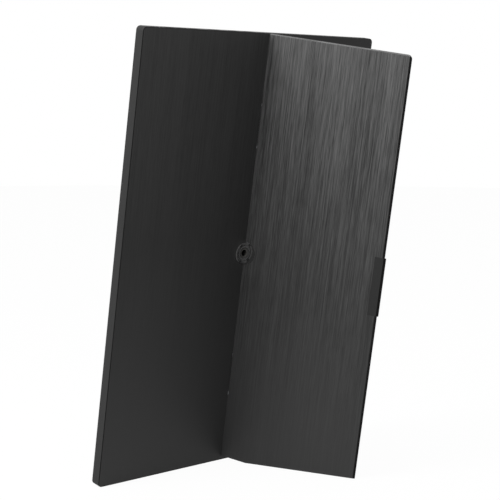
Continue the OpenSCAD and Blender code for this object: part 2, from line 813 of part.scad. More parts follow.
module kickstand_skin() color("#4a4a4e") on_floor() stance() opened() difference() {
    stand_plate(case_t - stand_skin, case_t, x_left, corner_r);
    for (zc = [hinge_low, hinge_high], p = arm_screw_places(zc))
        rod_y(p[0], p[1], arm_screw_r, 0, case_t - stand_skin + arm_screw_in);
    bevel_z(x_left, 0, case_l - corner_r, stand_bevel);
    bevel_x(x_left + corner_r, hinge_x, case_l, stand_bevel);
}

module kickstand_liner() color("#1c1c1e") on_floor() stance() opened() difference() {
    stand_plate(case_t - stand_t, case_t - stand_skin, x_left + liner_inset, corner_r);
    for (zc = [hinge_low, hinge_high])
        box(leaf_x0 - leaf_gap, hinge_x + lap, 0, case_t, zc - track_len / 2,
            zc + track_len / 2);
}

module kickstand_foot() color("#0f0f10") stance() opened()
    box(x_left - foot_out, x_left + foot_w, case_t - stand_t, case_t + foot_up,
        foot_z - foot_len / 2, foot_z + foot_len / 2);

// Moving half of a hinge: a curved rail and the leaf that it is bent from
module hinge_arm(zc) {
    z0 = zc - track_len / 2 + end_plate + side_play;
    z1 = zc + track_len / 2 - end_plate - side_play;
    difference() {
        union() {
            arc(rail_r, rail_out, rail_start, rail_end, z0, z1);
            box(leaf_x0, leaf_x1, case_t - stand_t, case_t - stand_skin, z0, z1);
        }
        for (p = arm_screw_places(zc)) {
            rod_y(p[0], p[1], arm_screw_r, 0, case_t);
            rod_y(p[0], p[1], arm_head_r, 0, case_t - stand_t + arm_head_t);
        }
    }
}

module lower_hinge_arm() color("#84888c") stance() opened() hinge_arm(hinge_low);
module upper_hinge_arm() color("#84888c") stance() opened() hinge_arm(hinge_high);

module arm_screws() color("#9fa3a8") stance() opened()
    for (zc = [hinge_low, hinge_high], p = arm_screw_places(zc)) {
        rod_y(p[0], p[1], arm_head_r, case_t - stand_t, case_t - stand_t + arm_head_t);
        rod_y(p[0], p[1], arm_screw_r, case_t - stand_t,
            case_t - stand_skin + arm_screw_in - arm_tip_gap);
    }

front_bezel();
rear_cover();
back_panel();
display_gasket();
display_cell();
prism_sheet();
diffuser_sheet();
light_guide();
reflector_sheet();
led_strip();
leds();
panel_frame();
panel_tray();
driver_board();
driver_flexes();
display_cable();
main_board();
board_chips();
shield_can();
thermal_pad();
insulation_sheet();
usb_c_ports();
video_port();
switch_bodies();
light_pipe();
spine_plate();
lower_hinge_track();
upper_hinge_track();
friction_pads();
tripod_insert();
tripod_collar();
spine_screws();
track_screws();
board_screws();
edge_feet();
power_button();
power_plunger();
menu_button();
menu_plunger();
select_button();
select_plunger();
kickstand_skin();
kickstand_liner();
kickstand_foot();
lower_hinge_arm();
upper_hinge_arm();
arm_screws();
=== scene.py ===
"""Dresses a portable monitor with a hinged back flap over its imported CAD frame."""

import logging
import math
from dataclasses import dataclass, field
from enum import Enum
from typing import Callable, Sequence

import bmesh
import bpy
from bmesh.types import BMEdge, BMesh, BMFace, BMVert
from bpy.types import Material, Node, NodeOutputs, NodeSocket, NodeTree, Object
from mathutils import Matrix, Vector


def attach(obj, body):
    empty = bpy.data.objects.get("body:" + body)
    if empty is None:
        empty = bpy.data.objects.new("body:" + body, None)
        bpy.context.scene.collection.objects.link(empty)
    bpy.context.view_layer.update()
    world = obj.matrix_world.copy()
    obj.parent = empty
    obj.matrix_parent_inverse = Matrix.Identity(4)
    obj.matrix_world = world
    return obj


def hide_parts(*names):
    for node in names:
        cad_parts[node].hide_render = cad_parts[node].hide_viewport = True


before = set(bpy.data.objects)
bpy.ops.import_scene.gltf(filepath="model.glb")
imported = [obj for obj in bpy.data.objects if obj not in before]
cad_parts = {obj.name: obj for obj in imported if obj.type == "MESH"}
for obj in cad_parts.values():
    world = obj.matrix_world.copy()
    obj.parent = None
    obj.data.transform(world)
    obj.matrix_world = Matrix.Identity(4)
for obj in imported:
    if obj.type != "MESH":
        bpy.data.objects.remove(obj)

log = logging.getLogger("portable_monitor")

Colour = tuple[float, float, float, float]
Triple = tuple[float, float, float]
Pair = tuple[float, float]

MM = 0.001
PHOTO_PIXELS = 500

X, Y, Z = range(3)
CLOSE = 1e-3
CUT_DIST = 1e-6
FLOOR_CUT_DIST = 1e-7
CORNER_STEPS = 10
NOTCH_STEPS = 40
TURNED_STEPS = 96
LOOP_SPACING = 64.0
SHARP_ANGLE = math.radians(40)
FLAT_AREA = 100.0 * MM * MM
FLAT_SLOPE = 0.98
ALONG_SLOPE = 0.9
MIX_COLOURS = (6, 7)
MIX_RESULT = 2

UNIT = (0.0, 1.0)
NOISE_SPAN = (0.3, 0.7)
WEAR_SPAN = (0.35, 0.65)
SUM_SPAN = (0.7, 1.3)


class Body(Enum):
    """Bodies that the pieces ride on."""

    MONITOR = "monitor"
    KICKSTAND = "kickstand"
    POWER = "power_key"
    MENU = "menu_key"
    SELECT = "select_key"


class Grade(Enum):
    """Grades of brushing on the metal sheets."""

    FINE = 0.3
    COARSE = 1.0


@dataclass(frozen=True)
class Stance:
    """How the monitor's own frame stands in the room, in millimetres and radians.

    The own frame has X across the hinge line, Y from the screen to the back and Z along
    the long side.
    """

    lean: float = math.radians(9.4)
    opened: float = math.radians(70.5)
    hinge_x: float = -2.0
    case_t: float = 9.0
    rest_flat: float = 0.15
    middle_x: float = 0.25
    middle_y: float = -81.42718

    def monitor(self) -> Matrix:
        """Places the monitor.

        Returns:
            The matrix from the own frame to the room.
        """
        place = Matrix.Translation((self.middle_x, self.middle_y, -self.rest_flat))
        turn = Matrix.Rotation(-self.lean, 4, "X")
        back = Matrix.Translation((0.0, -self.case_t, 0.0))
        return Matrix.Scale(MM, 4) @ place @ turn @ back

    def flap(self) -> Matrix:
        """Places the opened flap.

        Returns:
            The matrix from the shut kickstand's frame to the room.
        """
        hinge = Matrix.Translation((self.hinge_x, self.case_t, 0.0))
        turn = Matrix.Rotation(-self.opened, 4, "Z")
        return self.monitor() @ hinge @ turn @ hinge.inverted()


@dataclass(frozen=True)
class CaseSizes:
    """Sizes that several sub-assemblies share, in millimetres of the own frame."""

    half_w: float = 124.0
    length: float = 360.0
    depth: float = 9.0
    corner_r: float = 3.5
    hinge_x: float = -2.0
    hinge_gap: float = 0.3
    cover_y: float = 8.0
    collar_r: float = 9.0
    flap_low: float = 3.8
    foot_x: float = -116.0
    foot_zs: Pair = (154.5, 201.5)
    stance: Stance = Stance()

    @property
    def mid_z(self) -> float:
        """Returns the height of the middle of the long side."""
        return self.length / 2

    @property
    def hinge_middle(self) -> Vector:
        """Returns the socket's centre on the back's surface."""
        return Vector((self.hinge_x, self.depth, self.mid_z))

    def slant_z(self, reach: float) -> float:
        """Returns how high the floor is at a distance along the opened flap.

        Args:
            reach: Distance from the hinge line along the flap.

        Returns:
            The height in the own frame.
        """
        stance = self.stance
        rise = reach * math.sin(stance.opened) * math.sin(stance.lean)
        return (rise + stance.rest_flat) / math.cos(stance.lean)


CASE = CaseSizes()
PANEL_TURN = (CASE.stance.lean, 0.0, 0.0)
FLAP_TURN = (CASE.stance.lean, 0.0, CASE.stance.opened)


@dataclass(frozen=True)
class Spots:
    """Noise: its spots' size along each axis in millimetres, its detail and its shift."""

    sizes: Triple
    detail: float = 2.0
    shift: float = 0.0


class Graph:
    """The nodes of one material, with its shader and output ready."""

    def __init__(self, name: str) -> None:
        """Starts a material.

        Args:
            name: The material's name.
        """
        self.material = bpy.data.materials.new(name)
        self.material.use_nodes = True
        self.tree = self.material.node_tree
        self.tree.nodes.clear()
        self.shader = self.add("ShaderNodeBsdfPrincipled")
        self.output = self.add("ShaderNodeOutputMaterial")
        self.link(self.shader.outputs["BSDF"], self.output.inputs["Surface"])

    def add(self, kind: str, **settings: object) -> Node:
        """Adds a node.

        Args:
            kind: The node's type.
            **settings: Properties of the node to set.

        Returns:
            The new node.
        """
        node = self.tree.nodes.new(kind)
        for key, value in settings.items():
            setattr(node, key, value)
        return node

    def link(self, source: NodeSocket, target: NodeSocket) -> None:
        """Links an output to an input."""
        self.tree.links.new(source, target)

    def set(self, **values: object) -> None:
        """Sets constants on the shader's own sockets, with _ for a space in their names."""
        for key, value in values.items():
            self.shader.inputs[key.replace("_", " ")].default_value = value

    def mapped(self, vector: NodeSocket, **values: Sequence[float]) -> NodeSocket:
        """Moves, turns or scales a vector.

        Args:
            vector: The vector's output.
            **values: The Mapping node's Location, Rotation or Scale.

        Returns:
            The mapped vector.
        """
        node = self.add("ShaderNodeMapping")
        for key, value in values.items():
            node.inputs[key].default_value = value
        self.link(vector, node.inputs["Vector"])
        return node.outputs["Vector"]

    def coordinates(self, turn: Triple = (0.0, 0.0, 0.0)) -> NodeSocket:
        """Makes object coordinates in metres, turned into a plate's own directions."""
        return self.mapped(self.add("ShaderNodeTexCoord").outputs["Object"], Rotation=turn)

    def noise(self, vector: NodeSocket, spots: Spots) -> NodeSocket:
        """Makes noise.

        Args:
            vector: The coordinates, in metres.
            spots: The noise's spots.

        Returns:
            The noise's factor.
        """
        node = self.add("ShaderNodeTexNoise")
        node.inputs["Scale"].default_value = 1.0
        node.inputs["Detail"].default_value = spots.detail
        scale = [1.0 / (size * MM) for size in spots.sizes]
        self.link(self.mapped(vector, Scale=scale, Location=(spots.shift,) * 3),
                  node.inputs["Vector"])
        return node.outputs["Fac"]

    def ranged(self, value: NodeSocket, source: Pair, target: Pair) -> NodeSocket:
        """Maps a value from one range to another, held at both ends.

        Args:
            value: The value's output.
            source: The range that it comes in.
            target: The range that it goes to.

        Returns:
            The mapped value.
        """
        node = self.add("ShaderNodeMapRange", clamp=True)
        for key, number in zip(("From Min", "From Max", "To Min", "To Max"), source + target):
            node.inputs[key].default_value = number
        self.link(value, node.inputs["Value"])
        return node.outputs["Result"]

    def combined(self, how: str, first: NodeSocket, second: NodeSocket | float) -> NodeSocket:
        """Combines two values.

        Args:
            how: The Math node's operation.
            first: The first value.
            second: The second value, an output or a number.

        Returns:
            The result.
        """
        node = self.add("ShaderNodeMath", operation=how)
        self.link(first, node.inputs[0])
        if isinstance(second, float):
            node.inputs[1].default_value = second
        else:
            self.link(second, node.inputs[1])
        return node.outputs["Value"]

    def mottle(self, first: NodeSocket, second: NodeSocket, span: Pair) -> NodeSocket:
        """Adds two noises and maps a span of their sum to 0 to 1."""
        return self.ranged(self.combined("ADD", first, second), span, UNIT)

    def axes(self, vector: NodeSocket) -> NodeOutputs:
        """Splits a vector.

        Args:
            vector: The vector's output.

        Returns:
            Its X, Y and Z.
        """
        node = self.add("ShaderNodeSeparateXYZ")
        self.link(vector, node.inputs["Vector"])
        return node.outputs

    def joined(self, first: NodeSocket, second: NodeSocket) -> NodeSocket:
        """Joins two values into a vector.

        Args:
            first: Its X.
            second: Its Y.

        Returns:
            The vector.
        """
        node = self.add("ShaderNodeCombineXYZ")
        self.link(first, node.inputs["X"])
        self.link(second, node.inputs["Y"])
        return node.outputs["Vector"]

    def paint(self, factor: NodeSocket, colours: tuple[Colour, Colour]) -> None:
        """Gives the shader a colour.

        Args:
            factor: What the colour follows, from 0 to 1.
            colours: The colours at 0 and at 1.
        """
        node = self.add("ShaderNodeMix", data_type="RGBA")
        for index, colour in zip(MIX_COLOURS, colours):
            node.inputs[index].default_value = colour
        self.link(factor, node.inputs[0])
        self.link(node.outputs[MIX_RESULT], self.shader.inputs["Base Color"])

    def wear(self, factor: NodeSocket, span: Pair, roughness: Pair) -> None:
        """Gives the shader a roughness.

        Args:
            factor: What the roughness follows.
            span: The range of the factor.
            roughness: The roughness at both ends of the range.
        """
        self.link(self.ranged(factor, span, roughness), self.shader.inputs["Roughness"])

    def bump(self, height: NodeSocket, depth: float) -> None:
        """Gives the shader a bump.

        Args:
            height: The height's output, from 0 to 1.
            depth: The depth that it stands for, in millimetres.
        """
        node = self.add("ShaderNodeBump")
        node.inputs["Distance"].default_value = depth * MM
        self.link(height, node.inputs["Height"])
        self.link(node.outputs["Normal"], self.shader.inputs["Normal"])


def grey(level: float, tint: Triple = (1.0, 1.0, 1.0)) -> Colour:
    """Returns a grey of a linear level, with a slight tint."""
    return (level * tint[0], level * tint[1], level * tint[2], 1.0)


def shades(colour: Colour, shares: Pair) -> tuple[Colour, Colour]:
    """Returns a darker and a lighter shade of a colour.

    Args:
        colour: The colour.
        shares: How much of the colour each shade has.

    Returns:
        Both shades, with no channel above 1.
    """
    dark, light = (tuple(min(channel * share, 1.0) for channel in colour[:3])
                   for share in shares)
    return (*dark, 1.0), (*light, 1.0)


class Finish:
    """A finish, which makes its material once."""

    name: str

    def fill(self, graph: Graph) -> None:
        """Fills in the material's nodes."""
        raise NotImplementedError

    def material(self) -> Material:
        """Makes the finish's material the first time it is asked for.

        Returns:
            The material.
        """
        found = bpy.data.materials.get(self.name)
        if found is None:
            graph = Graph(self.name)
            self.fill(graph)
            found = graph.material
        return found


@dataclass(frozen=True)
class BrushedMetal(Finish):
    """Sheet metal brushed along the long side, then anodised dark.

    The lines come in three widths. They fade towards the end that stands on the floor as
    painted light, since their highlights show less there. The metal darkens towards that
    end, painted shade where less light falls, and at half height, painted shade too.
    """

    name: str
    level: float
    turn: Triple
    grade: Grade
    # Painted shade: how much darker the metal gets towards the floor end and at half height.
    foot_shade: float = 0.0
    waist_shade: float = 0.0
    lines: tuple[Spots, ...] = (Spots((0.42, 60.0, 13.0), 3.0),
                                Spots((0.9, 60.0, 95.0), 2.0, 3.1),
                                Spots((9.0, 60.0, 420.0), 1.0, 7.7))
    strengths: Triple = (0.5, 0.42, 0.18)
    # Painted light: where the lines' contrast fades towards the floor end, and how far.
    fade: Pair = (0.02, 0.26)
    faded: Pair = (0.3, 1.0)
    shade_fade: Pair = (0.14, 0.34)
    line_span: Pair = (-0.8, 0.8)
    shares: Pair = (0.42, 1.6)
    roughness: Pair = (0.4, 0.55)
    metallic: float = 0.45
    specular: float = 0.25
    grazing: float = 0.35
    depth: float = 0.02

    def brushing(self, graph: Graph, plate: NodeSocket) -> NodeSocket:
        """Makes the sum of the lines of every width.

        Args:
            graph: The material's nodes.
            plate: The plate's coordinates.

        Returns:
            The sum, around 0.
        """
        hair, streak, band = (
            graph.ranged(graph.noise(plate, line), NOISE_SPAN, (-strength, strength))
            for line, strength in zip(self.lines, self.strengths))
        return graph.combined("ADD", graph.combined("ADD", hair, streak), band)

    def fill(self, graph: Graph) -> None:
        """Fills in the material's nodes.

        Args:
            graph: The material's nodes.
        """
        plate = graph.coordinates(self.turn)
        lines = self.brushing(graph, plate)
        height = graph.axes(plate)["Z"]
        # Painted light: the lines' contrast fades towards the floor end, where their highlights
        # show less.
        fade = graph.ranged(height, self.fade, self.faded)
        lines = graph.combined("MULTIPLY", lines, graph.combined("MULTIPLY", fade, fade))
        lines = graph.combined("MULTIPLY", lines, float(self.grade.value))
        # Painted shade: darker towards the floor end, where less light falls.
        foot = graph.ranged(height, self.shade_fade, (-self.foot_shade, 0.0))
        # Painted shade: darker at half height, between the lighter top and bottom.
        middle = CASE.mid_z * MM
        off_middle = graph.combined("ABSOLUTE", graph.combined("SUBTRACT", height, middle), 0.0)
        waist_darkening = graph.ranged(off_middle, (0.0, middle), (-self.waist_shade, 0.0))
        lines = graph.combined("ADD", graph.combined("ADD", lines, foot), waist_darkening)
        factor = graph.ranged(lines, self.line_span, UNIT)
        graph.paint(factor, shades(grey(self.level), self.shares))
        graph.wear(lines, self.line_span, self.roughness)
        graph.set(Metallic=self.metallic, Specular_IOR_Level=self.specular,
                  Specular_Tint=grey(self.grazing))
        graph.bump(factor, self.depth)


@dataclass(frozen=True)
class CutEdge(Finish):
    """A bevel along a sheet's edge with fine tool marks; its level paints light on it, a high
    level as a painted highlight and a low one as painted shade.
    """

    name: str
    level: float
    roughness: Pair = (0.2, 0.34)
    metallic: float = 0.9
    specular: float = 0.2
    grazing: float = 0.4
    mark: Spots = Spots((1.2, 1.2, 1.2), 3.0)
    stain: Spots = Spots((14.0, 14.0, 14.0), 2.0, 5.0)
    span: Pair = (0.75, 1.25)
    shares: Pair = (0.8, 1.25)
    depth: float = 0.004

    def fill(self, graph: Graph) -> None:
        """Fills in the material's nodes.

        Args:
            graph: The material's nodes.
        """
        place = graph.coordinates()
        marks = graph.mottle(graph.noise(place, self.mark), graph.noise(place, self.stain),
                             self.span)
        graph.paint(marks, shades(grey(self.level), self.shares))
        graph.wear(marks, UNIT, self.roughness)
        graph.set(Metallic=self.metallic, Specular_IOR_Level=self.specular,
                  Specular_Tint=grey(self.grazing))
        graph.bump(marks, self.depth)


@dataclass(frozen=True)
class GrainedPlastic(Finish):
    """Moulded plastic or rubber with a spark-eroded grain and faint handling marks."""

    name: str
    colour: Colour
    roughness: Pair = (0.5, 0.62)
    grain: float = 0.35
    depth: float = 0.02
    specular: float = 0.4
    mark: Spots = Spots((30.0, 30.0, 30.0), 3.0, 2.0)
    shares: Pair = (0.86, 1.14)

    def fill(self, graph: Graph) -> None:
        """Fills in the material's nodes.

        Args:
            graph: The material's nodes.
        """
        place = graph.coordinates()
        grain = graph.noise(place, Spots((self.grain,) * 3))
        marks = graph.noise(place, self.mark)
        graph.paint(graph.mottle(grain, marks, SUM_SPAN), shades(self.colour, self.shares))
        graph.wear(marks, WEAR_SPAN, self.roughness)
        graph.set(Specular_IOR_Level=self.specular)
        graph.bump(grain, self.depth)


@dataclass(frozen=True)
class RolledMetal(Finish):
    """Plain sheet or machined metal with rolling marks along the long side."""

    name: str
    colour: Colour
    roughness: Pair = (0.28, 0.42)
    metallic: float = 1.0
    grazing: float = 1.0
    specular: float = 0.25
    line: Spots = Spots((0.4, 0.4, 14.0))
    stain: Spots = Spots((12.0, 12.0, 30.0), 2.0, 4.0)
    shares: Pair = (0.85, 1.0)
    depth: float = 0.004

    def fill(self, graph: Graph) -> None:
        """Fills in the material's nodes.

        Args:
            graph: The material's nodes.
        """
        plate = graph.coordinates(PANEL_TURN)
        lines = graph.noise(plate, self.line)
        spread = graph.mottle(lines, graph.noise(plate, self.stain), SUM_SPAN)
        graph.paint(spread, shades(self.colour, self.shares))
        graph.wear(spread, UNIT, self.roughness)
        graph.set(Metallic=self.metallic, Specular_IOR_Level=self.specular,
                  Specular_Tint=grey(self.grazing))
        graph.bump(lines, self.depth)


@dataclass(frozen=True)
class TurnedMetal(Finish):
    """Metal turned on a lathe about the socket's axis."""

    name: str
    colour: Colour
    roughness: Pair = (0.25, 0.4)
    metallic: float = 0.9
    ring: Spots = Spots((0.18, 0.18, 1.0), 1.0)
    stain: Spots = Spots((2.5, 2.5, 2.5), 2.0, 1.0)
    shares: Pair = (0.7, 1.25)
    depth: float = 0.01

    def fill(self, graph: Graph) -> None:
        """Fills in the material's nodes.

        Args:
            graph: The material's nodes.
        """
        plate = graph.coordinates(PANEL_TURN)
        middle = CASE.stance.monitor() @ CASE.hinge_middle
        middle.rotate(Matrix.Rotation(CASE.stance.lean, 3, "X"))
        axes = graph.axes(graph.mapped(plate, Location=-middle))
        radius = graph.add("ShaderNodeVectorMath", operation="LENGTH")
        graph.link(graph.joined(axes["X"], axes["Z"]), radius.inputs[0])
        rings = graph.noise(graph.joined(radius.outputs["Value"], axes["Y"]), self.ring)
        spread = graph.mottle(rings, graph.noise(plate, self.stain), SUM_SPAN)
        graph.paint(spread, shades(self.colour, self.shares))
        graph.wear(spread, UNIT, self.roughness)
        graph.set(Metallic=self.metallic)
        graph.bump(rings, self.depth)


@dataclass(frozen=True)
class ScreenGlass(Finish):
    """Switched-off display glass, with its picture cells and a faint haze."""

    name: str
    light: Colour
    dark: Colour
    cell: Spots = Spots((0.18, 0.18, 0.18), 0.0)
    haze: Spots = Spots((60.0, 60.0, 60.0), 2.0, 6.0)
    span: Pair = (0.6, 1.4)
    roughness: Pair = (0.1, 0.16)
    specular: float = 0.12

    def fill(self, graph: Graph) -> None:
        """Fills in the material's nodes.

        Args:
            graph: The material's nodes.
        """
        plate = graph.coordinates(PANEL_TURN)
        haze = graph.noise(plate, self.haze)
        cells = graph.noise(plate, self.cell)
        graph.paint(graph.mottle(cells, haze, self.span), (self.dark, self.light))
        graph.wear(haze, WEAR_SPAN, self.roughness)
        graph.set(Specular_IOR_Level=self.specular)


@dataclass(frozen=True)
class Film(Finish):
    """A clear or milky plastic sheet with faint ripples."""

    name: str
    colour: Colour
    clear: float
    roughness: Pair = (0.1, 0.25)
    ripple: Spots = Spots((0.12, 0.12, 40.0), 1.0)
    haze: Spots = Spots((25.0, 25.0, 25.0), 2.0, 3.0)
    shares: Pair = (0.94, 1.0)
    depth: float = 0.01

    def fill(self, graph: Graph) -> None:
        """Fills in the material's nodes.

        Args:
            graph: The material's nodes.
        """
        plate = graph.coordinates(PANEL_TURN)
        haze = graph.noise(plate, self.haze)
        graph.paint(haze, shades(self.colour, self.shares))
        graph.wear(haze, NOISE_SPAN, self.roughness)
        graph.set(Transmission_Weight=self.clear)
        graph.bump(graph.noise(plate, self.ripple), self.depth)


@dataclass(frozen=True)
class CircuitBoard(Finish):
    """Solder mask over copper tracks."""

    name: str
    mask: Colour = (0.012, 0.09, 0.035, 1.0)
    track: Colour = (0.03, 0.17, 0.07, 1.0)
    cell: float = 2.5
    edge: Pair = (0.3, 0.36)
    roughness: Pair = (0.35, 0.25)
    depth: float = 0.02

    def fill(self, graph: Graph) -> None:
        """Fills in the material's nodes.

        Args:
            graph: The material's nodes.
        """
        cells = graph.add("ShaderNodeTexVoronoi", distance="CHEBYCHEV")
        cells.inputs["Scale"].default_value = 1.0
        scale = (1.0 / (self.cell * MM),) * 3
        graph.link(graph.mapped(graph.coordinates(PANEL_TURN), Scale=scale),
                   cells.inputs["Vector"])
        edge = graph.ranged(cells.outputs["Distance"], self.edge, UNIT)
        graph.paint(edge, (self.mask, self.track))
        graph.wear(edge, UNIT, self.roughness)
        graph.bump(edge, self.depth)


# Painted shade: the back darkens at half height, between its lighter top and bottom.
BACK_METAL = BrushedMetal("brushed_back_metal", 0.038, PANEL_TURN, Grade.FINE,
                          waist_shade=0.3)
# Painted shade: the flap darkens towards its floor end, where less light falls.
FLAP_METAL = BrushedMetal("brushed_flap_metal", 0.078, FLAP_TURN, Grade.COARSE,
                          foot_shade=0.6)
# Painted highlight: the flap's upward-facing top bevel is lighter than the sheet, as where it
# catches the light.
TOP_EDGE_HIGHLIGHT = CutEdge("flap_top_edge_highlight", 0.105)
# Painted shade: a near-black copy of the cut edge for bevels and rims that stand in shade.
EDGE_SHADE = CutEdge("edge_painted_shade", 0.01, (0.55, 0.65), 0.2, 0.08)
COLLAR_METAL = TurnedMetal("collar_turned", grey(0.022), (0.4, 0.55), 0.3)
# Painted highlight: a lighter copy of the cut edge on the collar's rim bevel, as where it
# catches the light.
COLLAR_RIM_HIGHLIGHT = CutEdge("collar_rim_highlight", 0.09, (0.3, 0.42), 0.7)
INSERT_METAL = TurnedMetal("insert_turned", (0.035, 0.034, 0.032, 1.0))
FOOT_RUBBER = GrainedPlastic("foot_rubber", grey(0.018), (0.6, 0.75), 0.3, 0.03, 0.2)
# Painted shade: a darker copy of the foot rubber for the strip's outward rim.
RIM_RUBBER_SHADE = GrainedPlastic("rim_rubber_painted_shade", grey(0.004), (0.7, 0.8), 0.3, 0.03, 0.1)
KEY_PLASTIC = GrainedPlastic("key_plastic", grey(0.012), (0.5, 0.6), 0.25, 0.01, 0.15)
CASE_METAL = RolledMetal("case_side_metal", grey(0.034), (0.45, 0.55), 0.3, 0.35)
BEZEL_PLASTIC = GrainedPlastic("bezel_plastic", grey(0.016), (0.5, 0.62), specular=0.3)
PICTURE_GLASS = ScreenGlass("picture_glass", grey(0.0055, (0.9, 1.0, 1.3)), grey(0.0035))
BORDER_GLASS = ScreenGlass("border_glass", grey(0.001), grey(0.0006))
HINGE_STEEL = RolledMetal("hinge_steel", grey(0.03), (0.5, 0.6), 0.3, 0.35)
LINER_PLASTIC = GrainedPlastic("liner_plastic", grey(0.03), (0.5, 0.62), 0.4, 0.03)
WHITE_FILM = Film("white_film", (0.88, 0.88, 0.87, 1.0), 0.1, (0.5, 0.65))
GUIDE_ACRYLIC = Film("guide_acrylic", (0.82, 0.88, 0.9, 1.0), 0.85)
FLEX_FILM = Film("flex_film", (0.45, 0.22, 0.06, 1.0), 0.15, (0.25, 0.35))
BOARD_MASK = CircuitBoard("board_mask")
SWITCH_PLASTIC = GrainedPlastic("switch_plastic", (0.55, 0.53, 0.46, 1.0))
PORT_METAL = RolledMetal("port_shell_metal", grey(0.42), (0.22, 0.34))
SCREW_STEEL = RolledMetal("screw_steel", grey(0.35), (0.25, 0.35))
PLUNGER_PLASTIC = GrainedPlastic("plunger_plastic", (0.4, 0.03, 0.03, 1.0))

CARRIED: dict[str, Finish] = {
    "rear_cover": CASE_METAL,
    "display_gasket": GrainedPlastic("gasket_foam", grey(0.01), (0.8, 0.9), 0.6, 0.08),
    "prism_sheet": Film("prism_film", (0.85, 0.88, 0.9, 1.0), 0.7),
    "diffuser_sheet": WHITE_FILM,
    "light_guide": GUIDE_ACRYLIC,
    "reflector_sheet": WHITE_FILM,
    "led_strip": SWITCH_PLASTIC,
    "leds": GrainedPlastic("led_resin", (0.8, 0.72, 0.3, 1.0), (0.25, 0.35)),
    "panel_frame": GrainedPlastic("frame_plastic", grey(0.7), (0.5, 0.6)),
    "panel_tray": RolledMetal("tray_steel", grey(0.45)),
    "driver_board": BOARD_MASK,
    "driver_flexes": FLEX_FILM,
    "display_cable": FLEX_FILM,
    "main_board": BOARD_MASK,
    "board_chips": GrainedPlastic("chip_epoxy", grey(0.015), (0.4, 0.5), 0.15, 0.005),
    "shield_can": RolledMetal("shield_metal", grey(0.6), (0.2, 0.32)),
    "thermal_pad": GrainedPlastic("pad_silicone", (0.3, 0.4, 0.5, 1.0), (0.6, 0.7)),
    "insulation_sheet": GrainedPlastic("insulator_film", grey(0.012), (0.3, 0.4), 1.0, 0.01),
    "usb_c_ports": PORT_METAL,
    "video_port": PORT_METAL,
    "switch_bodies": SWITCH_PLASTIC,
    "light_pipe": GUIDE_ACRYLIC,
    "spine_plate": RolledMetal("spine_steel", grey(0.4)),
    "lower_hinge_track": HINGE_STEEL,
    "upper_hinge_track": HINGE_STEEL,
    "friction_pads": RolledMetal("pad_bronze", (0.5, 0.36, 0.16, 1.0), (0.3, 0.4)),
    "spine_screws": SCREW_STEEL,
    "track_screws": SCREW_STEEL,
    "board_screws": SCREW_STEEL,
    "power_plunger": PLUNGER_PLASTIC,
    "menu_plunger": PLUNGER_PLASTIC,
    "select_plunger": PLUNGER_PLASTIC,
    "lower_hinge_arm": HINGE_STEEL,
    "upper_hinge_arm": HINGE_STEEL,
    "arm_screws": SCREW_STEEL,
}


def on_plane(edge: BMEdge, axis: int, place: float) -> bool:
    """Tells whether an edge lies in the plane that crosses an axis at a place."""
    return all(abs(vert.co[axis] - place) < CLOSE for vert in edge.verts)


def runs_along(edge: BMEdge, axis: int) -> bool:
    """Tells whether an edge runs along an axis."""
    return abs((edge.verts[0].co - edge.verts[1].co).normalized()[axis]) > ALONG_SLOPE


def is_near(edge: BMEdge, point: Vector, reach: float) -> bool:
    """Tells whether both ends of an edge are within reach of a point."""
    return all((vert.co - point).length < reach for vert in edge.verts)


def is_within(edge: BMEdge, low: Pair, high: Pair) -> bool:
    """Tells whether an edge lies in a rectangle in X and Z, given by two corners."""
    return all(low[0] - CLOSE < vert.co.x < high[0] + CLOSE
               and low[1] - CLOSE < vert.co.z < high[1] + CLOSE for vert in edge.verts)


def is_corner(edge: BMEdge, angle: float) -> bool:
    """Tells whether two faces meet at an edge by more than an angle."""
    return len(edge.link_faces) == 2 and edge.calc_face_angle() > angle


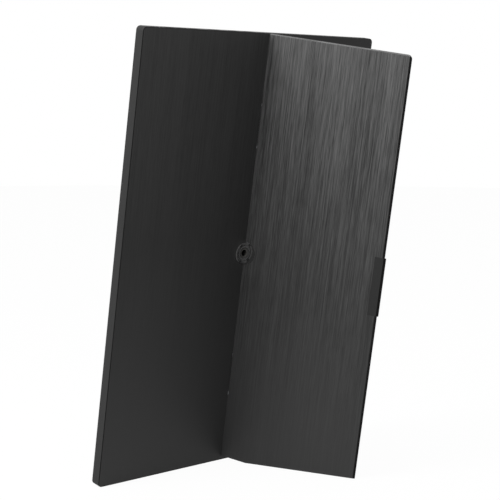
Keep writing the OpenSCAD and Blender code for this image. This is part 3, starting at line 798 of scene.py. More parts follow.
@dataclass
class Blank:
    """A mesh being shaped, in millimetres of the frame that its piece is drawn in."""

    bm: BMesh = field(default_factory=bmesh.new)

    def block(self, low: Sequence[float], high: Sequence[float]) -> None:
        """Adds a box.

        Args:
            low: Its lowest corner.
            high: Its highest corner.
        """
        made = bmesh.ops.create_cube(self.bm, size=1.0)["verts"]
        bmesh.ops.scale(self.bm, vec=Vector(high) - Vector(low), verts=made)
        bmesh.ops.translate(self.bm, vec=(Vector(high) + Vector(low)) / 2, verts=made)

    def path(self, points: Sequence[Sequence[float]]) -> list[BMVert]:
        """Adds a run of vertices joined by edges.

        Args:
            points: The places of the vertices.

        Returns:
            The vertices in order.
        """
        verts = [self.bm.verts.new(point) for point in points]
        for first, second in zip(verts, verts[1:]):
            self.bm.edges.new((first, second))
        return verts

    def swept(self, start: BMVert, centre: Vector, angle: float) -> BMVert:
        """Sweeps a vertex about the back's normal into an arc.

        Args:
            start: The vertex.
            centre: The arc's centre.
            angle: The turn in radians.

        Returns:
            The vertex at the arc's end.
        """
        made = bmesh.ops.spin(self.bm, geom=[start], cent=centre, axis=(0, 1, 0),
                              angle=angle, steps=NOTCH_STEPS, use_merge=False)
        return next(v for v in made["geom_last"] if isinstance(v, BMVert))

    def rounded_loop(self, low: Pair, high: Pair, radius: float, y: float) -> list[BMEdge]:
        """Draws a rectangle with rounded corners, without a face.

        Args:
            low: Its lowest corner in X and Z.
            high: Its highest corner in X and Z.
            radius: The corners' radius.
            y: Its height through the thickness.

        Returns:
            The loop's edges.
        """
        before = set(self.bm.edges)
        verts = self.path([(low[0], y, low[1]), (high[0], y, low[1]),
                           (high[0], y, high[1]), (low[0], y, high[1])])
        self.bm.edges.new((verts[-1], verts[0]))
        drawn = [edge for edge in self.bm.edges if edge not in before]
        bmesh.ops.contextual_create(self.bm, geom=drawn)
        self.round_corners(verts, radius)
        drawn = [edge for edge in self.bm.edges if edge not in before]
        faces = list({face for edge in drawn for face in edge.link_faces})
        bmesh.ops.delete(self.bm, geom=faces, context="FACES_ONLY")
        return drawn

    def bridge(self, loops: Sequence[list[BMEdge]]) -> None:
        """Joins loops into a closed ring, each to the next and the last to the first.

        The loops stand apart while they are joined, so that like corners meet.

        Args:
            loops: The edges of each loop.
        """
        rings = [list({vert for edge in loop for vert in edge.verts}) for loop in loops]
        for index, ring in enumerate(rings):
            bmesh.ops.translate(self.bm, vec=(0.0, LOOP_SPACING * index, 0.0), verts=ring)
        for first, second in zip(loops, list(loops[1:]) + [loops[0]]):
            bmesh.ops.bridge_loops(self.bm, edges=first + second)
        for index, ring in enumerate(rings):
            bmesh.ops.translate(self.bm, vec=(0.0, -LOOP_SPACING * index, 0.0), verts=ring)
        self.face_outwards()

    def face_outwards(self) -> None:
        """Turns every face's normal outwards."""
        bmesh.ops.recalc_face_normals(self.bm, faces=self.bm.faces[:])

    def round_corners(self, corners: Sequence[BMVert], radius: float) -> None:
        """Rounds corners of a flat outline."""
        bmesh.ops.bevel(self.bm, geom=list(corners), offset=radius, segments=CORNER_STEPS,
                        profile=0.5, affect="VERTICES", material=-1)

    def thicken(self, depth: float) -> None:
        """Gives the flat outline a thickness towards the back.

        Args:
            depth: The thickness.
        """
        made = bmesh.ops.extrude_face_region(self.bm, geom=self.bm.faces[:])["geom"]
        top = [item for item in made if isinstance(item, BMVert)]
        bmesh.ops.translate(self.bm, vec=(0.0, depth, 0.0), verts=top)
        self.face_outwards()

    def soften(self, pick: Callable[[BMEdge], bool], width: float, segments: int) -> None:
        """Bevels the edges that a test picks.

        Args:
            pick: The test.
            width: The bevel's width along each face.
            segments: The number of faces across it.
        """
        edges = [edge for edge in self.bm.edges if pick(edge)]
        bmesh.ops.bevel(self.bm, geom=edges, offset=width, segments=segments,
                        profile=0.5, affect="EDGES", material=-1, clamp_overlap=True)

    def turned(self, profile: Sequence[Pair], centre: Vector) -> None:
        """Turns a closed profile about the back's normal.

        Args:
            profile: Radius and height of each corner.
            centre: A point on the axis.
        """
        verts = self.path([(centre.x + radius, y, centre.z) for radius, y in profile])
        self.bm.edges.new((verts[-1], verts[0]))
        bmesh.ops.spin(self.bm, geom=verts + self.bm.edges[:], cent=centre, axis=(0, 1, 0),
                       angle=math.tau, steps=TURNED_STEPS, use_merge=True)
        self.face_outwards()

    def cut(self, place: Vector, normal: Vector, dist: float, clear: bool = False
            ) -> list[BMEdge]:
        """Cuts the mesh along a plane.

        Args:
            place: A point in the plane.
            normal: The plane's normal.
            dist: How near the plane a vertex counts as in it.
            clear: Whether the side that the normal leaves is taken away.

        Returns:
            The edges in the plane.
        """
        made = bmesh.ops.bisect_plane(
            self.bm, geom=self.bm.verts[:] + self.bm.edges[:] + self.bm.faces[:],
            dist=dist, plane_co=place, plane_no=normal, clear_inner=clear)
        return [item for item in made["geom_cut"] if isinstance(item, BMEdge)]

    def split(self, axis: int, places: Sequence[float]) -> None:
        """Splits the faces along planes across an axis.

        Args:
            axis: The axis.
            places: Where the planes cross it.
        """
        normal = Vector((0.0, 0.0, 0.0))
        normal[axis] = 1.0
        for place in places:
            self.cut(normal * place, normal, CUT_DIST)

    def framed_face(self, low: Pair, high: Pair, y: float) -> BMFace:
        """Splits a flat side so that a rectangle on it is a face of its own.

        Args:
            low: The rectangle's lowest corner in X and Z.
            high: Its highest corner in X and Z.
            y: The side's height through the thickness.

        Returns:
            The rectangle's face.
        """
        self.split(X, (low[0], high[0]))
        self.split(Z, (low[1], high[1]))
        middle = Vector(((low[0] + high[0]) / 2, y, (low[1] + high[1]) / 2))
        return min(self.bm.faces,
                   key=lambda face: (face.calc_center_median() - middle).length)

    def place(self, matrix: Matrix) -> None:
        """Moves the mesh to its place in the room."""
        bmesh.ops.transform(self.bm, matrix=matrix, verts=self.bm.verts[:])

    def stand_on_floor(self) -> None:
        """Cuts off what would be under the floor and closes the cut."""
        rim = self.cut(Vector((0, 0, 0)), Vector((0, 0, 1)), FLOOR_CUT_DIST, clear=True)
        bmesh.ops.holes_fill(self.bm, edges=rim, sides=0)


@dataclass(kw_only=True)
class Part:
    """A sub-assembly that is shaped in one blank and becomes one piece."""

    name: str
    node: str
    slot: str
    finishes: tuple[Finish, ...]
    body: Body = Body.MONITOR
    case: CaseSizes = CASE
    blank: Blank = field(default_factory=Blank)

    @property
    def home(self) -> Matrix:
        """Returns the matrix from the frame that the part is drawn in to the room."""
        stance = self.case.stance
        return stance.flap() if self.body is Body.KICKSTAND else stance.monitor()

    def slope(self, face: BMFace, own: Triple) -> float:
        """Returns the cosine between a placed face's normal and an own direction."""
        return face.normal.dot(self.home.to_3x3().normalized() @ Vector(own))

    def notched_outline(self, corners: Sequence[Pair], y: float, side: int, radius: float,
                        rounded: Sequence[int]) -> None:
        """Draws a flat outline that closes round the socket's notch.

        Args:
            corners: Its corners in X and Z, from one end of the notch to the other.
            y: Its height through the thickness.
            side: 1 for the half that stays bare, -1 for the flap's half.
            radius: The notch's radius.
            rounded: Which corners are rounded.
        """
        half_gap = self.case.hinge_gap / 2
        rise = math.sqrt(radius * radius - half_gap * half_gap)
        end = (self.case.hinge_x + side * half_gap, self.case.mid_z + side * rise)
        verts = self.blank.path([(x, y, z) for x, z in (*corners, end)])
        centre = Vector((self.case.hinge_x, y, self.case.mid_z))
        turn = math.pi - 2 * math.asin(half_gap / radius)
        last = self.blank.swept(verts[-1], centre, turn)
        self.blank.bm.edges.new((last, verts[0]))
        bmesh.ops.contextual_create(self.blank.bm, geom=self.blank.bm.edges[:])
        self.blank.round_corners([verts[index] for index in rounded], self.case.corner_r)

    def is_free(self, edge: BMEdge, side: int) -> bool:
        """Tells whether an edge of the back's surface is on the free side or the top.

        Args:
            edge: The edge.
            side: 1 if the free side is the bare half's, -1 if it is the flap's.

        Returns:
            Whether it is.
        """
        case = self.case
        middle = (edge.verts[0].co + edge.verts[1].co) / 2
        return on_plane(edge, Y, case.depth) and (
            side * middle.x > case.half_w - case.corner_r
            or middle.z > case.length - case.corner_r)

    def build(self) -> None:
        """Shapes the blank."""
        raise NotImplementedError

    def finish_of(self, face: BMFace) -> int:
        """Returns which of the part's finishes a placed face has."""
        return 0

    def dress(self) -> Object:
        """Gives each face its finish and makes the blank a piece of the object.

        Returns:
            The piece.
        """
        for face in self.blank.bm.faces:
            face.material_index = self.finish_of(face)
        mesh = bpy.data.meshes.new(self.name)
        self.blank.bm.to_mesh(mesh)
        self.blank.bm.free()
        mesh.set_sharp_from_angle(angle=SHARP_ANGLE)
        for face in mesh.polygons:
            face.use_smooth = face.area < FLAT_AREA
        for finish in self.finishes:
            mesh.materials.append(finish.material())
        made = bpy.data.objects.new(self.name, mesh)
        bpy.context.scene.collection.objects.link(made)
        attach(made, self.body.value)
        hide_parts(self.node)
        log.info("%s: %d faces, rides on %s", self.name, len(mesh.polygons), self.body.value)
        return made


@dataclass
class BackPanel(Part):
    """Brushed metal sheet on the half of the back that the shut flap leaves bare."""

    name: str = "back_sheet"
    node: str = "back_panel"
    slot: str = "brushed_back"
    finishes: tuple[Finish, ...] = (BACK_METAL, EDGE_SHADE)
    thickness: float = 1.0
    hole_gap: float = 0.1
    bevel: float = 0.5
    notch_bevel: float = 0.2
    notch_reach: float = 1.0
    shaded_edge_slopes: Pair = (0.1, FLAT_SLOPE)

    def outline(self) -> None:
        """Draws the sheet's outline with its round notch and its strip under the flap."""
        case = self.case
        stance = case.stance
        edge_x = case.hinge_x + case.hinge_gap / 2
        kink = ((case.flap_low * math.cos(stance.lean) - stance.rest_flat)
                / (math.sin(stance.opened) * math.sin(stance.lean)))
        strip_z = case.flap_low - case.hinge_gap
        far_z = case.slant_z(case.hinge_x + case.half_w) - case.hinge_gap
        self.notched_outline(
            [(edge_x, strip_z), (case.hinge_x - kink, strip_z), (-case.half_w, far_z),
             (-case.half_w, 0.0), (case.half_w, 0.0), (case.half_w, case.length),
             (edge_x, case.length)],
            case.cover_y, 1, case.collar_r + self.hole_gap, (3, 4, 5))

    def build(self) -> None:
        """Builds the sheet with its bevelled edges."""
        case = self.case
        self.outline()
        self.blank.thicken(self.thickness)
        reach = case.collar_r + self.notch_reach
        self.blank.soften(lambda edge: self.is_free(edge, 1), self.bevel, 2)
        self.blank.soften(lambda edge: on_plane(edge, Y, case.depth)
                          and is_near(edge, case.hinge_middle, reach), self.notch_bevel, 2)
        self.blank.place(self.home)
        self.blank.stand_on_floor()

    def finish_of(self, face: BMFace) -> int:
        """Returns 0 for the brushed faces and 1 for the bevels, which carry painted shade."""
        # Bevel faces, between flat and side-on, get painted shade.
        least, most = self.shaded_edge_slopes
        return int(least < self.slope(face, (0, 1, 0)) < most)


@dataclass
class KickstandSkin(Part):
    """Brushed metal sheet of the flap, with a painted highlight on its top edge and painted
    shade on its rim.
    """

    name: str = "flap_sheet"
    node: str = "kickstand_skin"
    slot: str = "brushed_flap"
    finishes: tuple[Finish, ...] = (FLAP_METAL, TOP_EDGE_HIGHLIGHT, EDGE_SHADE)
    body: Body = Body.KICKSTAND
    thickness: float = 1.0
    notch_gap: float = 0.5
    bevel: float = 0.95
    shaded_rim_w: float = 1.7
    highlight_slope: float = 0.5

    def outline(self) -> None:
        """Draws the flap's outline as it lies shut, with both notches."""
        case = self.case
        edge_x = case.hinge_x - case.hinge_gap / 2
        left = -case.half_w
        low, high = case.foot_zs
        self.notched_outline(
            [(edge_x, case.length), (left, case.length), (left, high), (case.foot_x, high),
             (case.foot_x, low), (left, low), (left, case.flap_low),
             (edge_x, case.flap_low)],
            case.depth - self.thickness, -1, case.collar_r + self.notch_gap, (1,))

    def build(self) -> None:
        """Builds the sheet with its bevelled edges and its slanted foot."""
        self.outline()
        self.blank.thicken(self.thickness)
        self.blank.soften(lambda edge: self.is_free(edge, -1), self.bevel, 1)
        # Splits off the strip along the free edge that carries painted shade.
        self.blank.split(X, (self.shaded_rim_w - self.case.half_w,))
        self.blank.place(self.home)
        self.blank.stand_on_floor()

    def finish_of(self, face: BMFace) -> int:
        """Tells which finish a placed face has.

        Args:
            face: The face.

        Returns:
            0 for the brushed face, 1 for the top edge with its painted highlight and 2 for the
            rim with its painted shade.
        """
        sloped = self.slope(face, (0, 1, 0)) < FLAT_SLOPE
        # Upward-facing edge faces get the painted highlight.
        if sloped and self.slope(face, (0, 0, 1)) > self.highlight_slope:
            return 1
        own = self.home.inverted() @ face.calc_center_median()
        # The other edge faces and the strip along the free edge get painted shade.
        return 2 if sloped or own.x < self.shaded_rim_w - self.case.half_w else 0


@dataclass
class KickstandFoot(Part):
    """Rubber strip on the flap's free edge."""

    name: str = "flap_foot"
    node: str = "kickstand_foot"
    slot: str = "soft_rubber"
    finishes: tuple[Finish, ...] = (FOOT_RUBBER, RIM_RUBBER_SHADE)
    body: Body = Body.KICKSTAND
    out_x: float = -124.9
    depths: Pair = (7.2, 9.25)
    rim_cut: float = 1.5
    edge_r: float = 0.35
    edge_angle: float = 0.5
    shaded_rim_slope: float = 0.3

    def build(self) -> None:
        """Builds the strip with its slanted rim and rounded edges."""
        self.blank.block((self.out_x, self.depths[0], self.case.foot_zs[0]),
                         (self.case.foot_x, self.depths[1], self.case.foot_zs[1]))
        self.blank.soften(lambda edge: on_plane(edge, X, self.out_x)
                          and on_plane(edge, Y, self.depths[1]), self.rim_cut, 1)
        self.blank.soften(lambda edge: is_corner(edge, self.edge_angle), self.edge_r, 3)
        self.blank.place(self.home)

    def finish_of(self, face: BMFace) -> int:
        """Returns 0 for the strip and 1 for its rim, darkened as painted shade."""
        # Faces turned outwards get the painted shade.
        return int(self.slope(face, (-1, 0, 0)) > self.shaded_rim_slope)


@dataclass
class EdgeFeet(Part):
    """Rubber strips on the long edge that the monitor stands on when it is turned."""

    name: str = "long_edge_feet"
    node: str = "edge_feet"
    slot: str = "soft_rubber"
    finishes: tuple[Finish, ...] = (FOOT_RUBBER,)
    middles: Pair = (50.0, 310.0)
    length: float = 40.0
    across: Pair = (2.4, 5.4)
    proud: Pair = (-124.5, -123.2)
    end_r: float = 1.4
    end_steps: int = 6
    edge_r: float = 0.3

    def build(self) -> None:
        """Builds both strips with rounded ends."""
        for middle in self.middles:
            self.blank.block((self.proud[0], self.across[0], middle - self.length / 2),
                             (self.proud[1], self.across[1], middle + self.length / 2))
        self.blank.soften(lambda edge: runs_along(edge, X), self.end_r, self.end_steps)
        self.blank.soften(lambda edge: on_plane(edge, X, self.proud[0]), self.edge_r, 2)
        self.blank.place(self.home)


@dataclass
class FrontBezel(Part):
    """Plastic frame round the screen, with the ribs behind its lip."""

    name: str = "screen_frame"
    node: str = "front_bezel"
    slot: str = "bezel"
    finishes: tuple[Finish, ...] = (BEZEL_PLASTIC,)
    depth: float = 1.4
    wall: float = 1.6
    lip: float = 0.6
    window_low: Pair = (-98.9, 7.65)
    window_high: Pair = (116.5, 352.35)
    window_r: float = 0.3
    outer_round: float = 0.45
    window_round: float = 0.2
    seam: float = 0.15
    edge_angle: float = 0.5
    rib_middles: tuple[float, ...] = (60.0, 140.0, 220.0, 300.0)
    rib_half: float = 4.0
    rib_t: float = 0.8
    rib_y: float = 2.9
    carrier_xs: Pair = (-120.4, -114.4)
    carrier_zs: Pair = (44.0, 341.0)
    carrier_w: float = 2.0
    carrier_y: float = 1.5

    def frame_ring(self) -> None:
        """Builds the frame from loops, from the front's rim round to its window."""
        case = self.case
        outer = ((-case.half_w, 0.0), (case.half_w, case.length), case.corner_r)
        inner = ((self.wall - case.half_w, self.wall),
                 (case.half_w - self.wall, case.length - self.wall),
                 case.corner_r - self.wall)
        window = (self.window_low, self.window_high, self.window_r)
        self.blank.bridge([self.blank.rounded_loop(*shape, y) for shape, y in (
            (outer, 0.0), (outer, self.depth), (inner, self.depth), (inner, self.lip),
            (window, self.lip), (window, 0.0))])

    def soften_rims(self) -> None:
        """Rounds the front's outer and inner rims and breaks the edge at the seam."""
        case = self.case
        half = self.wall / 2
        window = (self.window_low, self.window_high)
        middles = ((half - case.half_w, half), (case.half_w - half, case.length - half))

        def rim(edge: BMEdge, y: float) -> bool:
            """Tells whether an edge is a corner at a height."""
            return on_plane(edge, Y, y) and is_corner(edge, self.edge_angle)

        self.blank.soften(lambda edge: rim(edge, 0.0) and is_within(edge, *window),
                          self.window_round, 2)
        self.blank.soften(lambda edge: rim(edge, 0.0) and not is_within(edge, *window),
                          self.outer_round, 3)
        self.blank.soften(lambda edge: rim(edge, self.depth)
                          and not is_within(edge, *middles), self.seam, 1)

    def rib(self, x: float, width: float, top: float, middle: float) -> None:
        """Builds one rib on the lip.

        Args:
            x: Where its lower side is.
            width: Its width.
            top: How far it reaches towards the back.
            middle: Where its middle is along the long side.
        """
        self.blank.block((x, self.lip, middle - self.rib_half),
                         (x + width, top, middle + self.rib_half))

    def build(self) -> None:
        """Builds the frame with its rounded edges, then the ribs."""
        self.frame_ring()
        self.soften_rims()
        inner = self.case.half_w - self.wall
        for middle in self.rib_middles:
            for x in (-inner, inner - self.rib_t):
                self.rib(x, self.rib_t, self.rib_y, middle)
        for middle in self.carrier_zs:
            for x in self.carrier_xs:
                self.rib(x, self.carrier_w, self.carrier_y, middle)
        self.blank.place(self.home)


@dataclass
class DisplayCell(Part):
    """Glass of the display: its picture area and the black border round it."""

    name: str = "display_glass"
    node: str = "display_cell"
    slot: str = "screen"
    finishes: tuple[Finish, ...] = (PICTURE_GLASS, BORDER_GLASS)
    low: Triple = (-107.6, 0.9, 4.45)
    high: Triple = (119.7, 1.5, 355.55)
    picture_low: Pair = (-97.9, 8.65)
    picture_high: Pair = (115.5, 351.35)
    edge_bevel: float = 0.1
    picture: BMFace | None = None

    def build(self) -> None:
        """Builds the glass with ground edges and marks out its picture area."""
        self.blank.block(self.low, self.high)
        self.blank.soften(lambda edge: True, self.edge_bevel, 1)
        self.picture = self.blank.framed_face(self.picture_low, self.picture_high,
                                              self.low[Y])
        self.blank.place(self.home)

    def finish_of(self, face: BMFace) -> int:
        """Returns 0 for the picture area and 1 for the border."""
        return int(face is not self.picture)


@dataclass
class KickstandLiner(Part):
    """Moulded plate on the flap's inner face, cut out for the socket and the hinges."""

    name: str = "flap_liner"
    node: str = "kickstand_liner"
    slot: str = "liner_plastic"
    finishes: tuple[Finish, ...] = (LINER_PLASTIC,)
    body: Body = Body.KICKSTAND
    low_y: float = 7.2
    thickness: float = 0.8
    notch_gap: float = 0.5
    inset: float = 0.6
    leaf_x: float = -27.7
    leaf_middles: Pair = (75.0, 285.0)
    leaf_half: float = 18.0
    panel_low: Pair = (-110.0, 32.0)
    panel_high: Pair = (-36.0, 344.0)
    panel_slope: float = 0.4
    panel_depth: float = 0.15
    edge_round: float = 0.25
    edge_angle: float = 1.2

    def outline(self) -> None:
        """Draws the plate's outline as the flap lies shut."""
        case = self.case
        edge_x = case.hinge_x - case.hinge_gap / 2
        left = self.inset - case.half_w
        top = case.length - self.inset
        low, high = case.foot_zs
        lower, upper = ([(x, middle + side * self.leaf_half) for x, side in (
            (edge_x, -1), (self.leaf_x, -1), (self.leaf_x, 1), (edge_x, 1))]
            for middle in self.leaf_middles)
        self.notched_outline(
            [*upper, (edge_x, top), (left, top), (left, high), (case.foot_x, high),
             (case.foot_x, low), (left, low), (left, case.flap_low),
             (edge_x, case.flap_low), *lower],
            self.low_y, -1, case.collar_r + self.notch_gap, (5,))

    def build(self) -> None:
        """Builds the plate with its sunk panel and its slanted foot."""
        self.outline()
        self.blank.thicken(self.thickness)
        panel = self.blank.framed_face(self.panel_low, self.panel_high, self.low_y)
        bmesh.ops.inset_region(self.blank.bm, faces=[panel], thickness=self.panel_slope,
                               depth=-self.panel_depth, use_even_offset=True)
        self.blank.soften(lambda edge: on_plane(edge, Y, self.low_y)
                          and is_corner(edge, self.edge_angle), self.edge_round, 2)
        self.blank.place(self.home)
        self.blank.stand_on_floor()


@dataclass
class SocketCollar(Part):
    """Round collar that hides the rim of the tripod socket's insert."""

    name: str = "socket_collar"
    node: str = "tripod_collar"
    slot: str = "collar_plastic"
    finishes: tuple[Finish, ...] = (COLLAR_METAL, COLLAR_RIM_HIGHLIGHT)
    hole_r: float = 4.2
    low_y: float = 5.1
    groove: Pair = (6.3, 6.9)
    groove_depth: float = 0.4
    groove_bevel: float = 0.1
    rim_bevel: float = 0.4
    mouth_steps: tuple[Pair, ...] = ((1.0, 0.0), (0.8, 0.06), (0.0, 1.0))
    pockets: tuple[float, ...] = (54.0, 126.0, 234.0, 306.0)
    pocket_half: float = 9.5
    pocket_wall: float = 0.12
    pocket_depth: float = 0.6
    rim_highlight_slopes: Pair = (0.3, 0.95)

    def sink_pocket(self, angle: float) -> None:
        """Sinks a spanner pocket into the collar's face.

        Args:
            angle: The pocket's place round the axis.
        """
        half = math.radians(self.pocket_half)
        inner = self.groove[1] + self.groove_bevel
        chosen = []
        for face in self.blank.bm.faces:
            offset = face.calc_center_median() - self.case.hinge_middle
            turn = math.atan2(offset.z, offset.x) - angle
            if (abs(math.remainder(turn, math.tau)) < half and abs(offset.y) < CLOSE
                    and inner < math.hypot(offset.x, offset.z) < self.case.collar_r):
                chosen.append(face)
        bmesh.ops.inset_region(self.blank.bm, faces=chosen, thickness=self.pocket_wall,
                               depth=-self.pocket_depth, use_even_offset=True)

    def build(self) -> None:
        """Turns the collar about the socket's axis and sinks its pockets."""
        face = self.case.depth
        wide = self.case.collar_r
        bevel = self.groove_bevel
        inner, outer = self.groove
        floor = face - self.groove_depth
        self.blank.turned([
            (self.hole_r, self.low_y), (wide, self.low_y), (wide, face - self.rim_bevel),
            (wide - self.rim_bevel, face), (outer + bevel, face), (outer, face - bevel),
            (outer, floor), (inner, floor), (inner, face - bevel), (inner - bevel, face),
            *((self.hole_r + out, face - down) for out, down in self.mouth_steps)],
            self.case.hinge_middle)
        for angle in self.pockets:
            self.sink_pocket(math.radians(angle))
        self.blank.place(self.home)

    def finish_of(self, face: BMFace) -> int:
        """Tells which finish a placed face has.

        Args:
            face: The face.

        Returns:
            0 for the turned faces and 1 for the rim bevel with its painted highlight.
        """
        # The sloped faces at the outer rim get the painted highlight.
        offset = face.calc_center_median() - self.home @ self.case.hinge_middle
        at_rim = offset.length > (self.case.collar_r - self.rim_bevel) * MM
        least, most = self.rim_highlight_slopes
        return int(at_rim and least < self.slope(face, (0, 1, 0)) < most)


@dataclass
class SocketInsert(Part):
    """Threaded insert of the tripod socket, with a ring for each turn of its thread."""

    name: str = "socket_insert"
    node: str = "tripod_insert"
    slot: str = "insert_brass"
    finishes: tuple[Finish, ...] = (INSERT_METAL,)
    outer_r: float = 4.2
    axis_r: float = 0.01
    thread_r: float = 2.6
    thread_depth: float = 0.45
    pitch: float = 1.27
    turns: int = 4
    crest: float = 0.1
    low_y: float = 3.3
    flange_r: float = 7.0
    flange_ys: Pair = (4.1, 5.1)
    mouth_y: float = 8.6
    rim_bevel: float = 0.15
    mouth_bevel: float = 0.25
    hole_end: float = 0.1

    def thread(self) -> list[Pair]:
        """Draws the hole from its mouth to its bottom.

        Returns:
            Radius and height of each corner.
        """
        root = self.thread_r + self.thread_depth
        points = [(self.thread_r + self.mouth_bevel, self.mouth_y),
                  (self.thread_r, self.mouth_y - self.mouth_bevel),
                  (root, self.mouth_y - 2 * self.mouth_bevel)]
        for turn in range(1, self.turns):
            middle = self.mouth_y - self.pitch * turn
            points += [(self.thread_r, middle + self.crest),
                       (self.thread_r, middle - self.crest),
                       (root, middle - self.pitch / 2 + self.crest)]
        bottom = self.mouth_y - self.pitch * self.turns - self.hole_end
        return points + [(self.thread_r, bottom), (self.axis_r, bottom)]

    def build(self) -> None:
        """Turns the insert about the socket's axis."""
        low, high = self.flange_ys
        self.blank.turned([
            (self.axis_r, self.low_y), (self.outer_r, self.low_y), (self.outer_r, low),
            (self.flange_r, low), (self.flange_r, high), (self.outer_r, high),
            (self.outer_r, self.mouth_y - self.rim_bevel),
            (self.outer_r - self.rim_bevel, self.mouth_y), *self.thread()],
            self.case.hinge_middle)
        self.blank.place(self.home)


@dataclass(kw_only=True)
class Button(Part):
    """A push button: its cap with rounded ends, its flange and its stem."""

    x: float
    slot: str = "key_plastic"
    finishes: tuple[Finish, ...] = (KEY_PLASTIC,)
    y: float = 5.6
    width: float = 8.0
    height: float = 2.2
    out: float = 0.3
    end_round: float = 0.98
    end_steps: int = 8
    cap_r: float = 0.25
    flange_top: float = 358.3
    flange_t: float = 0.6
    flange_side: float = 0.8
    stem_r: float = 0.9
    stem_end: float = 357.2
    stem_sides: int = 24

    def bar(self, side: float, low: float, high: float) -> None:
        """Builds a bar under or in the hole.

        Args:
            side: How far it reaches past the cap's width.
            low: Where it starts along the long side.
            high: Where it ends.
        """
        half_w = self.width / 2 + side
        half_h = self.height / 2
        self.blank.block((self.x - half_w, self.y - half_h, low),
                         (self.x + half_w, self.y + half_h, high))

    def build(self) -> None:
        """Builds the cap, then the flange and the stem under it."""
        top = self.case.length + self.out
        self.bar(0.0, self.flange_top, top)
        self.blank.soften(lambda edge: runs_along(edge, Z),
                          self.height / 2 * self.end_round, self.end_steps)
        self.blank.soften(lambda edge: on_plane(edge, Z, top), self.cap_r, 3)
        self.bar(self.flange_side, self.flange_top - self.flange_t, self.flange_top)
        stem = bmesh.ops.create_cone(
            self.blank.bm, cap_ends=True, segments=self.stem_sides, radius1=self.stem_r,
            radius2=self.stem_r, depth=self.flange_top - self.stem_end)["verts"]
        middle = (self.x, self.y, (self.flange_top + self.stem_end) / 2)
        bmesh.ops.translate(self.blank.bm, vec=middle, verts=stem)
        self.blank.place(self.home)


@dataclass
class CarriedNodes:
    """The CAD nodes whose shape stays, each with its own finish."""

    finishes: dict[str, Finish] = field(default_factory=lambda: dict(CARRIED))

    def dress(self) -> None:
        """Gives each node its finish."""
        for name, finish in self.finishes.items():
            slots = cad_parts[name].data.materials
            if not slots:
                slots.append(finish.material())
            for index in range(len(slots)):
                slots[index] = finish.material()
            log.info("%s: carried over with %s", name, finish.name)


@dataclass
class PhotoCamera:
    """The camera where the photograph was taken from."""

    location: Triple = (0.73101, 0.76136, 0.29749)
    azimuth: float = math.radians(136.84)
    elevation: float = math.radians(4.08)
    roll: float = math.radians(0.286)
    lens: float = 96.82
    sensor: float = 36.0
    middle: Pair = (271.42, 202.04)
    sight: float = 20.0

    def build(self) -> None:
        """Builds the camera and makes it the scene's."""
        data = bpy.data.cameras.new("photo_camera")
        data.lens = self.lens
        data.sensor_width = self.sensor
        data.shift_x = (PHOTO_PIXELS / 2 - self.middle[0]) / PHOTO_PIXELS
        data.shift_y = (self.middle[1] - PHOTO_PIXELS / 2) / PHOTO_PIXELS
        data.clip_end = self.sight
        camera = bpy.data.objects.new("photo_camera", data)
        turn = (Matrix.Rotation(self.azimuth, 4, "Z")
                @ Matrix.Rotation(math.pi / 2 - self.elevation, 4, "X")
                @ Matrix.Rotation(self.roll, 4, "Z"))
        camera.matrix_world = Matrix.Translation(self.location) @ turn
        bpy.context.scene.collection.objects.link(camera)
        bpy.context.scene.camera = camera
        log.info("camera at %s", self.location)


@dataclass(frozen=True)
class Lamp:
    """One soft area lamp and the point that it is aimed at."""

    name: str
    place: Triple
    size: float
    power: float
    aim: Triple

    def build(self) -> None:
        """Builds the lamp."""
        data = bpy.data.lights.new(self.name, "AREA")
        data.shape = "DISK"
        data.size = self.size
        data.energy = self.power
        lamp = bpy.data.objects.new(self.name, data)
        back = Vector(self.place) - Vector(self.aim)
        turn = back.to_track_quat("Z", "Y").to_matrix().to_4x4()
        lamp.matrix_world = Matrix.Translation(self.place) @ turn
        lamp.visible_camera = False
        bpy.context.scene.collection.objects.link(lamp)


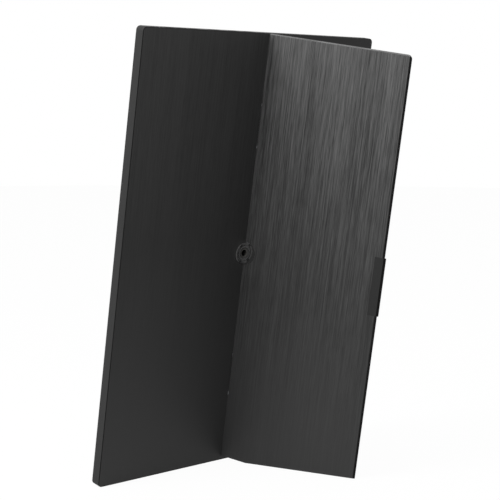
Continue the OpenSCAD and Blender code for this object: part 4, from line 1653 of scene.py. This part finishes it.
@dataclass
class Studio:
    """Pale floor, white surroundings and soft lamps."""

    radius: float = 4.0
    rim_steps: int = 64
    ambient: float = 0.55
    glow: float = 0.965
    paper: float = 0.9
    paper_shares: Pair = (0.99, 1.0)
    fibre: Spots = Spots((3.0, 3.0, 3.0), 3.0)
    roughness: float = 0.9
    specular: float = 0.1
    lamps: tuple[Lamp, ...] = (
        Lamp("side_lamp", (0.8, -0.12, 0.85), 0.5, 8.0, (0.0, 0.0, 0.25)),
        Lamp("sky_lamp", (0.0, 0.1, 2.6), 3.0, 24.0, (0.0, 0.0, 0.18)),
    )

    def seen_rays(self, tree: NodeTree) -> NodeSocket:
        """Makes a factor that is 1 for camera, glossy and transmission rays.

        Args:
            tree: The node tree to add the nodes to.

        Returns:
            The factor.
        """
        path = tree.nodes.new("ShaderNodeLightPath")
        total = path.outputs["Is Camera Ray"]
        for ray in ("Is Glossy Ray", "Is Transmission Ray"):
            either = tree.nodes.new("ShaderNodeMath")
            either.operation = "MAXIMUM"
            tree.links.new(total, either.inputs[0])
            tree.links.new(path.outputs[ray], either.inputs[1])
            total = either.outputs["Value"]
        return total

    def surroundings(self) -> None:
        """Builds the world: white where it is seen, softer where it lights."""
        world = bpy.data.worlds.new("studio_white")
        world.use_nodes = True
        bpy.context.scene.world = world
        tree = world.node_tree
        strength = tree.nodes.new("ShaderNodeMapRange")
        strength.inputs["To Min"].default_value = self.ambient
        strength.inputs["To Max"].default_value = 1.0
        tree.links.new(self.seen_rays(tree), strength.inputs["Value"])
        background = tree.nodes["Background"]
        background.inputs["Color"].default_value = grey(1.0)
        tree.links.new(strength.outputs["Result"], background.inputs["Strength"])

    def floor_paper(self) -> Material:
        """Makes the floor's material, white where it is seen but for its shadow.

        Returns:
            The material.
        """
        graph = Graph("floor_paper")
        graph.paint(graph.noise(graph.coordinates(), self.fibre),
                    shades(grey(self.paper), self.paper_shares))
        graph.set(Roughness=self.roughness, Specular_IOR_Level=self.specular)
        glow = graph.add("ShaderNodeEmission")
        glow.inputs["Strength"].default_value = 1.0
        mix = graph.add("ShaderNodeMixShader")
        seen = graph.combined("MULTIPLY", self.seen_rays(graph.tree), self.glow)
        graph.link(seen, mix.inputs["Fac"])
        graph.link(graph.shader.outputs["BSDF"], mix.inputs[1])
        graph.link(glow.outputs["Emission"], mix.inputs[2])
        graph.link(mix.outputs["Shader"], graph.output.inputs["Surface"])
        return graph.material

    def floor(self) -> None:
        """Builds the floor."""
        bm = bmesh.new()
        bmesh.ops.create_circle(bm, cap_ends=True, segments=self.rim_steps,
                                radius=self.radius)
        mesh = bpy.data.meshes.new("studio_floor")
        bm.to_mesh(mesh)
        bm.free()
        made = bpy.data.objects.new("studio_floor", mesh)
        bpy.context.scene.collection.objects.link(made)
        mesh.materials.append(self.floor_paper())

    def build(self) -> None:
        """Builds the studio."""
        self.surroundings()
        self.floor()
        for lamp in self.lamps:
            lamp.build()
        bpy.context.scene.view_settings.view_transform = "Standard"
        log.info("studio with %d lamps", len(self.lamps))


def main() -> None:
    """Builds the classes in order and reports each piece."""
    logging.basicConfig(level=logging.INFO, format="%(message)s")
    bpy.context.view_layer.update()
    PhotoCamera().build()
    Studio().build()
    CarriedNodes().dress()
    parts = [FrontBezel(), DisplayCell(), BackPanel(), KickstandSkin(), KickstandLiner(),
             KickstandFoot(), EdgeFeet(), SocketCollar(), SocketInsert(),
             Button(x=98.0, name="power_key", node="power_button", body=Body.POWER),
             Button(x=74.0, name="menu_key", node="menu_button", body=Body.MENU),
             Button(x=86.0, name="select_key", node="select_button", body=Body.SELECT)]
    for part in parts:
        part.build()
        part.dress()


if __name__ == "__main__":
    main()
